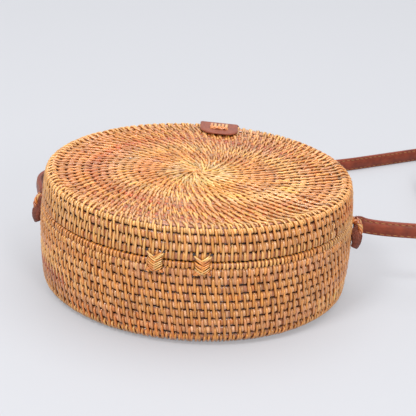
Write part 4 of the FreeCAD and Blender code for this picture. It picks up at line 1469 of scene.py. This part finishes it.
def clasp_leather():
    y, z, normal_y, normal_z = clasp_path().T
    steps = lengths(np.stack([y, z], axis=-1))
    half = np.full(len(steps), CLASP_HALF)
    rounded_end(half, steps, TAB_ROUND)
    rounded_end(half, steps[-1] - steps, FLAP_ROUND)
    half = np.maximum(half, 1.6)
    x = half[:, None] * STRIP_ACROSS[None, :] + clasp_skew(y, z)[:, None]
    lift = strip_lift(steps)
    layers = []
    for sign in (1, -1):
        out = sign * lift * normal_y[:, None]
        up = sign * lift * normal_z[:, None]
        layers.append(np.stack([x, y[:, None] + out, z[:, None] + up], axis=-1).reshape(-1, 3))
    verts = about_z(flap_lifted(np.concatenate(layers)), CLASP_TURN)
    piece = new_piece("clasp_strip", verts, strip_faces(*x.shape), CLASP_LEATHER)
    grain = np.stack([x, np.broadcast_to(steps[:, None], x.shape), np.zeros(x.shape)], axis=-1)
    paint(piece, grain=np.tile(grain.reshape(-1, 3), (2, 1)))
    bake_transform(piece)
    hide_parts("clasp_tab", "clasp_flap")


# Binding of the tab: five canes lengthways and three across, with their tones and the latter's widths.
BINDING_TOP = TAB_BASE + TAB_LEATHER - 0.05
BINDING_RISE = 0.85
BINDING_DIVE = 1.6
LONG_TONES = (ORANGE * 1.1, STRAW, STRAW * 0.92, TAN * 1.1, STRAW)
LONG_PITCH = 2.6
LONG_START = 84.6
LONG_REACH = 10.4
LONG_CANE = 2.3
CROSS_CANES = ((83.2, ORANGE, 1.5), (84.6, ORANGE * 1.15, 1.6), (86.0, TAN, 1.5))
CROSS_HALF = 6.6


def clasp_binding():
    """Canes side by side over the tab, a few bound across their near ends, all down through the leather."""
    t = np.linspace(0, 1, 15)
    tuck = np.minimum(t, 1 - t)
    dive = BINDING_DIVE * (1 - smooth(tuck / 0.12))
    # Painted shade: each cane darkens towards its ends, where it goes down into the leather.
    shade = eased(tuck, reach=0.12, at_end=0.45)[:, None]
    lines, colours, widths = [], [], []

    def add(x, y, level, tone, width):
        lines.append(np.stack([x + clasp_skew(y, 78.0), y, BINDING_TOP + level - dive], axis=-1))
        colours.append(np.clip(tone * shade, 0.01, 0.95))
        widths.append(np.full(len(t), width))

    for i, tone in enumerate(LONG_TONES):
        x = LONG_PITCH * (i - 2) + rng.normal(0, 0.12) + 0.5 * (t - 0.5)
        y = LONG_START + LONG_REACH * t + rng.normal(0, 0.25)
        add(x, y, 0.15 * np.sin(math.pi * t), tone, LONG_CANE)
    for place, tone, width in CROSS_CANES:
        weave = 0.35 + 0.3 * np.sin(TURN * (2.5 * t + place))
        y = place + 0.5 * (t - 0.5) + rng.normal(0, 0.15)
        add(CROSS_HALF * (2 * t - 1), y, weave, tone, width)
    line = about_z(np.array(lines), CLASP_TURN)
    facing = np.broadcast_to([0, 0, 1.0], line.shape)
    canes = Canes()
    canes.lay(line, facing, np.array(widths), np.full(line.shape[:2], BINDING_RISE), np.array(colours))
    piece = ride_canes(canes, "clasp_binding", "lid")
    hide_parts("clasp_stitches")


# Linings: cotton cut to the basket, with shallow gathers in its wall.

LINING_SEGMENTS = 192
LINING_RADIUS = 94.8
LINING_GAP = 0.7
LINING_EASE = 0.32
CLOTH = 0.4


def lining(name, node, body, outline):
    """A thin turned cloth, closed in the middle and open at its free edge."""
    outline = np.asarray(outline, float)
    angles = np.arange(LINING_SEGMENTS) * TURN / LINING_SEGMENTS
    count = len(outline)
    gather = 0.18 * np.sin(angles * 31 + 0.6 * np.sin(3 * angles)) + 0.12 * np.sin(angles * 17 + 1.3)
    wall = smooth((outline[:, 0] - 80) / 14)
    radius = outline[:, 0, None] - wall[:, None] * (LINING_EASE + gather[None])
    verts = turned_points(radius, outline[:, 1, None], angles[None]).reshape(-1, 3)
    index = np.arange(count * LINING_SEGMENTS).reshape(count, LINING_SEGMENTS)
    inward = outline[0, 0] > outline[-1, 0]
    middle = index[-1] if inward else index[0][::-1]
    piece = new_piece(name, verts, ring_quads(index) + [middle.tolist()], COTTON)
    cloth = piece.modifiers.new("cloth_thickness", "SOLIDIFY")
    cloth.thickness = CLOTH * MM
    cloth.offset = 0
    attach(piece, body)
    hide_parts(node)


def linings():
    floor = FLOOR_TOP + LINING_GAP
    cup = [(r, floor) for r in np.linspace(1.5, 92.5, 26)]
    cup += [(94.2, floor + 0.8), (LINING_RADIUS, floor + 2.6)]
    cup += [(LINING_RADIUS, z) for z in np.linspace(floor + 6, 47.0, 12)]
    lining("base_cotton", "base_lining", "base", cup)
    ceiling = LID_UNDERSIDE - LINING_GAP
    cap = [(r, ceiling) for r in np.linspace(1.5, 92.8, 26)]
    cap += [(94.3, ceiling - 0.7), (LINING_RADIUS, ceiling - 1.8)]
    cap += [(LINING_RADIUS, z) for z in np.linspace(ceiling - 2.6, 65.4, 4)]
    lining("lid_cotton", "lid_lining", "lid", cap[::-1])


def press_stud():
    for node in ("snap_cap", "snap_socket", "snap_stud", "snap_stud_back"):
        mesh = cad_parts[node].data
        mesh.materials.clear()
        mesh.materials.append(BRASS)


# Table, light and camera

TABLE = srgb(160, 161, 165)
TABLE_HALF = 6.0
TABLE_GLOW = 0.3


def table_material():
    """Pale and plain: its own glow shows to the eye and in shiny things but doesn't light the bag."""
    material, tree, shader = new_material("table_white")
    cloud = tree.noise(tree.place(), scale=1.3)
    tree.feed(shader.inputs["Base Color"], tree.mixed(cloud, TABLE * 0.985, TABLE))
    tree.feed(shader.inputs["Emission Color"], (0.9, 0.91, 0.95))
    rays = tree.nodes.new("ShaderNodeLightPath").outputs
    shown = tree.maths("ADD", rays["Is Camera Ray"], rays["Is Glossy Ray"])
    shown = tree.maths("ADD", shown, rays["Is Transmission Ray"])
    tree.feed(shader.inputs["Emission Strength"], tree.maths("MULTIPLY", shown, TABLE_GLOW))
    shader.inputs["Roughness"].default_value = 0.6
    shader.inputs["Specular IOR Level"].default_value = 0.1
    return material


def table():
    mesh = bpy.data.meshes.new("table")
    corners = [(x * TABLE_HALF, y * TABLE_HALF, 0) for x, y in ((-1, -1), (1, -1), (1, 1), (-1, 1))]
    mesh.from_pydata(corners, [], [(0, 1, 2, 3)])
    mesh.materials.append(table_material())
    top = bpy.data.objects.new("table", mesh)
    bpy.context.scene.collection.objects.link(top)


def soft_box(name, place, aim, size, watts):
    lamp = bpy.data.lights.new(name, "AREA")
    lamp.shape = "RECTANGLE"
    lamp.size, lamp.size_y = size
    lamp.energy = watts
    holder = bpy.data.objects.new(name, lamp)
    holder.location = place
    holder.rotation_euler = (Vector(aim) - Vector(place)).to_track_quat("-Z", "Y").to_euler()
    bpy.context.scene.collection.objects.link(holder)


def light():
    world = bpy.data.worlds.new("studio")
    bpy.context.scene.world = world
    world.use_nodes = True
    sky = world.node_tree.nodes["Background"]
    sky.inputs["Color"].default_value = (0.97, 0.98, 1.0, 1)
    sky.inputs["Strength"].default_value = 0.72
    soft_box("key_box", place=(-0.6, -0.95, 1.6), aim=(0, 0, 0.03), size=(0.45, 0.45), watts=15.5)
    soft_box("top_box", place=(0.2, 0.5, 1.8), aim=(0, 0.1, 0.05), size=(1.8, 1.4), watts=17)
    soft_box("fill_box", place=(0.7, -1.3, 0.75), aim=(0, 0, 0.04), size=(0.35, 0.35), watts=6.8)


PIXELS = 416
EYE_AIM = (0.0, 0.0, 0.035)
EYE_DISTANCE = 0.95
EYE_AZIMUTH = math.radians(5.2)
EYE_ELEVATION = math.radians(22.4)
EYE_ROLL = math.radians(-3.17)
FOCAL_PIXELS = 1434.0
AIM_PIXEL = (196.0, 230.3)


def camera():
    data = bpy.data.cameras.new("camera")
    data.sensor_width = 36.0
    data.lens = FOCAL_PIXELS / PIXELS * data.sensor_width
    data.shift_x = (PIXELS / 2 - AIM_PIXEL[0]) / PIXELS
    data.shift_y = (AIM_PIXEL[1] - PIXELS / 2) / PIXELS
    level = math.cos(EYE_ELEVATION)
    back = Vector((math.sin(EYE_AZIMUTH) * level, -math.cos(EYE_AZIMUTH) * level, math.sin(EYE_ELEVATION)))
    right = Vector((math.cos(EYE_AZIMUTH), math.sin(EYE_AZIMUTH), 0))
    up = back.cross(right)
    x = right * math.cos(EYE_ROLL) - up * math.sin(EYE_ROLL)
    y = right * math.sin(EYE_ROLL) + up * math.cos(EYE_ROLL)
    place = Vector(EYE_AIM) + back * EYE_DISTANCE
    holder = bpy.data.objects.new("camera", data)
    turn = Matrix((x, y, back)).transposed().to_4x4()
    holder.matrix_world = Matrix.Translation(place) @ turn
    bpy.context.scene.collection.objects.link(holder)
    bpy.context.scene.camera = holder
    bpy.context.scene.view_settings.view_transform = "Standard"


camera()
light()
table()
strap()
strap_ends()
base_core()
lid_core()
base_wall()
base_floor()
lid_wall()
lid_top()
for bag_side, bag_sign in SIDES:
    knot(bag_side, bag_sign)
    lashing(bag_side, bag_sign)
clasp_leather()
clasp_binding()
linings()
press_stud()
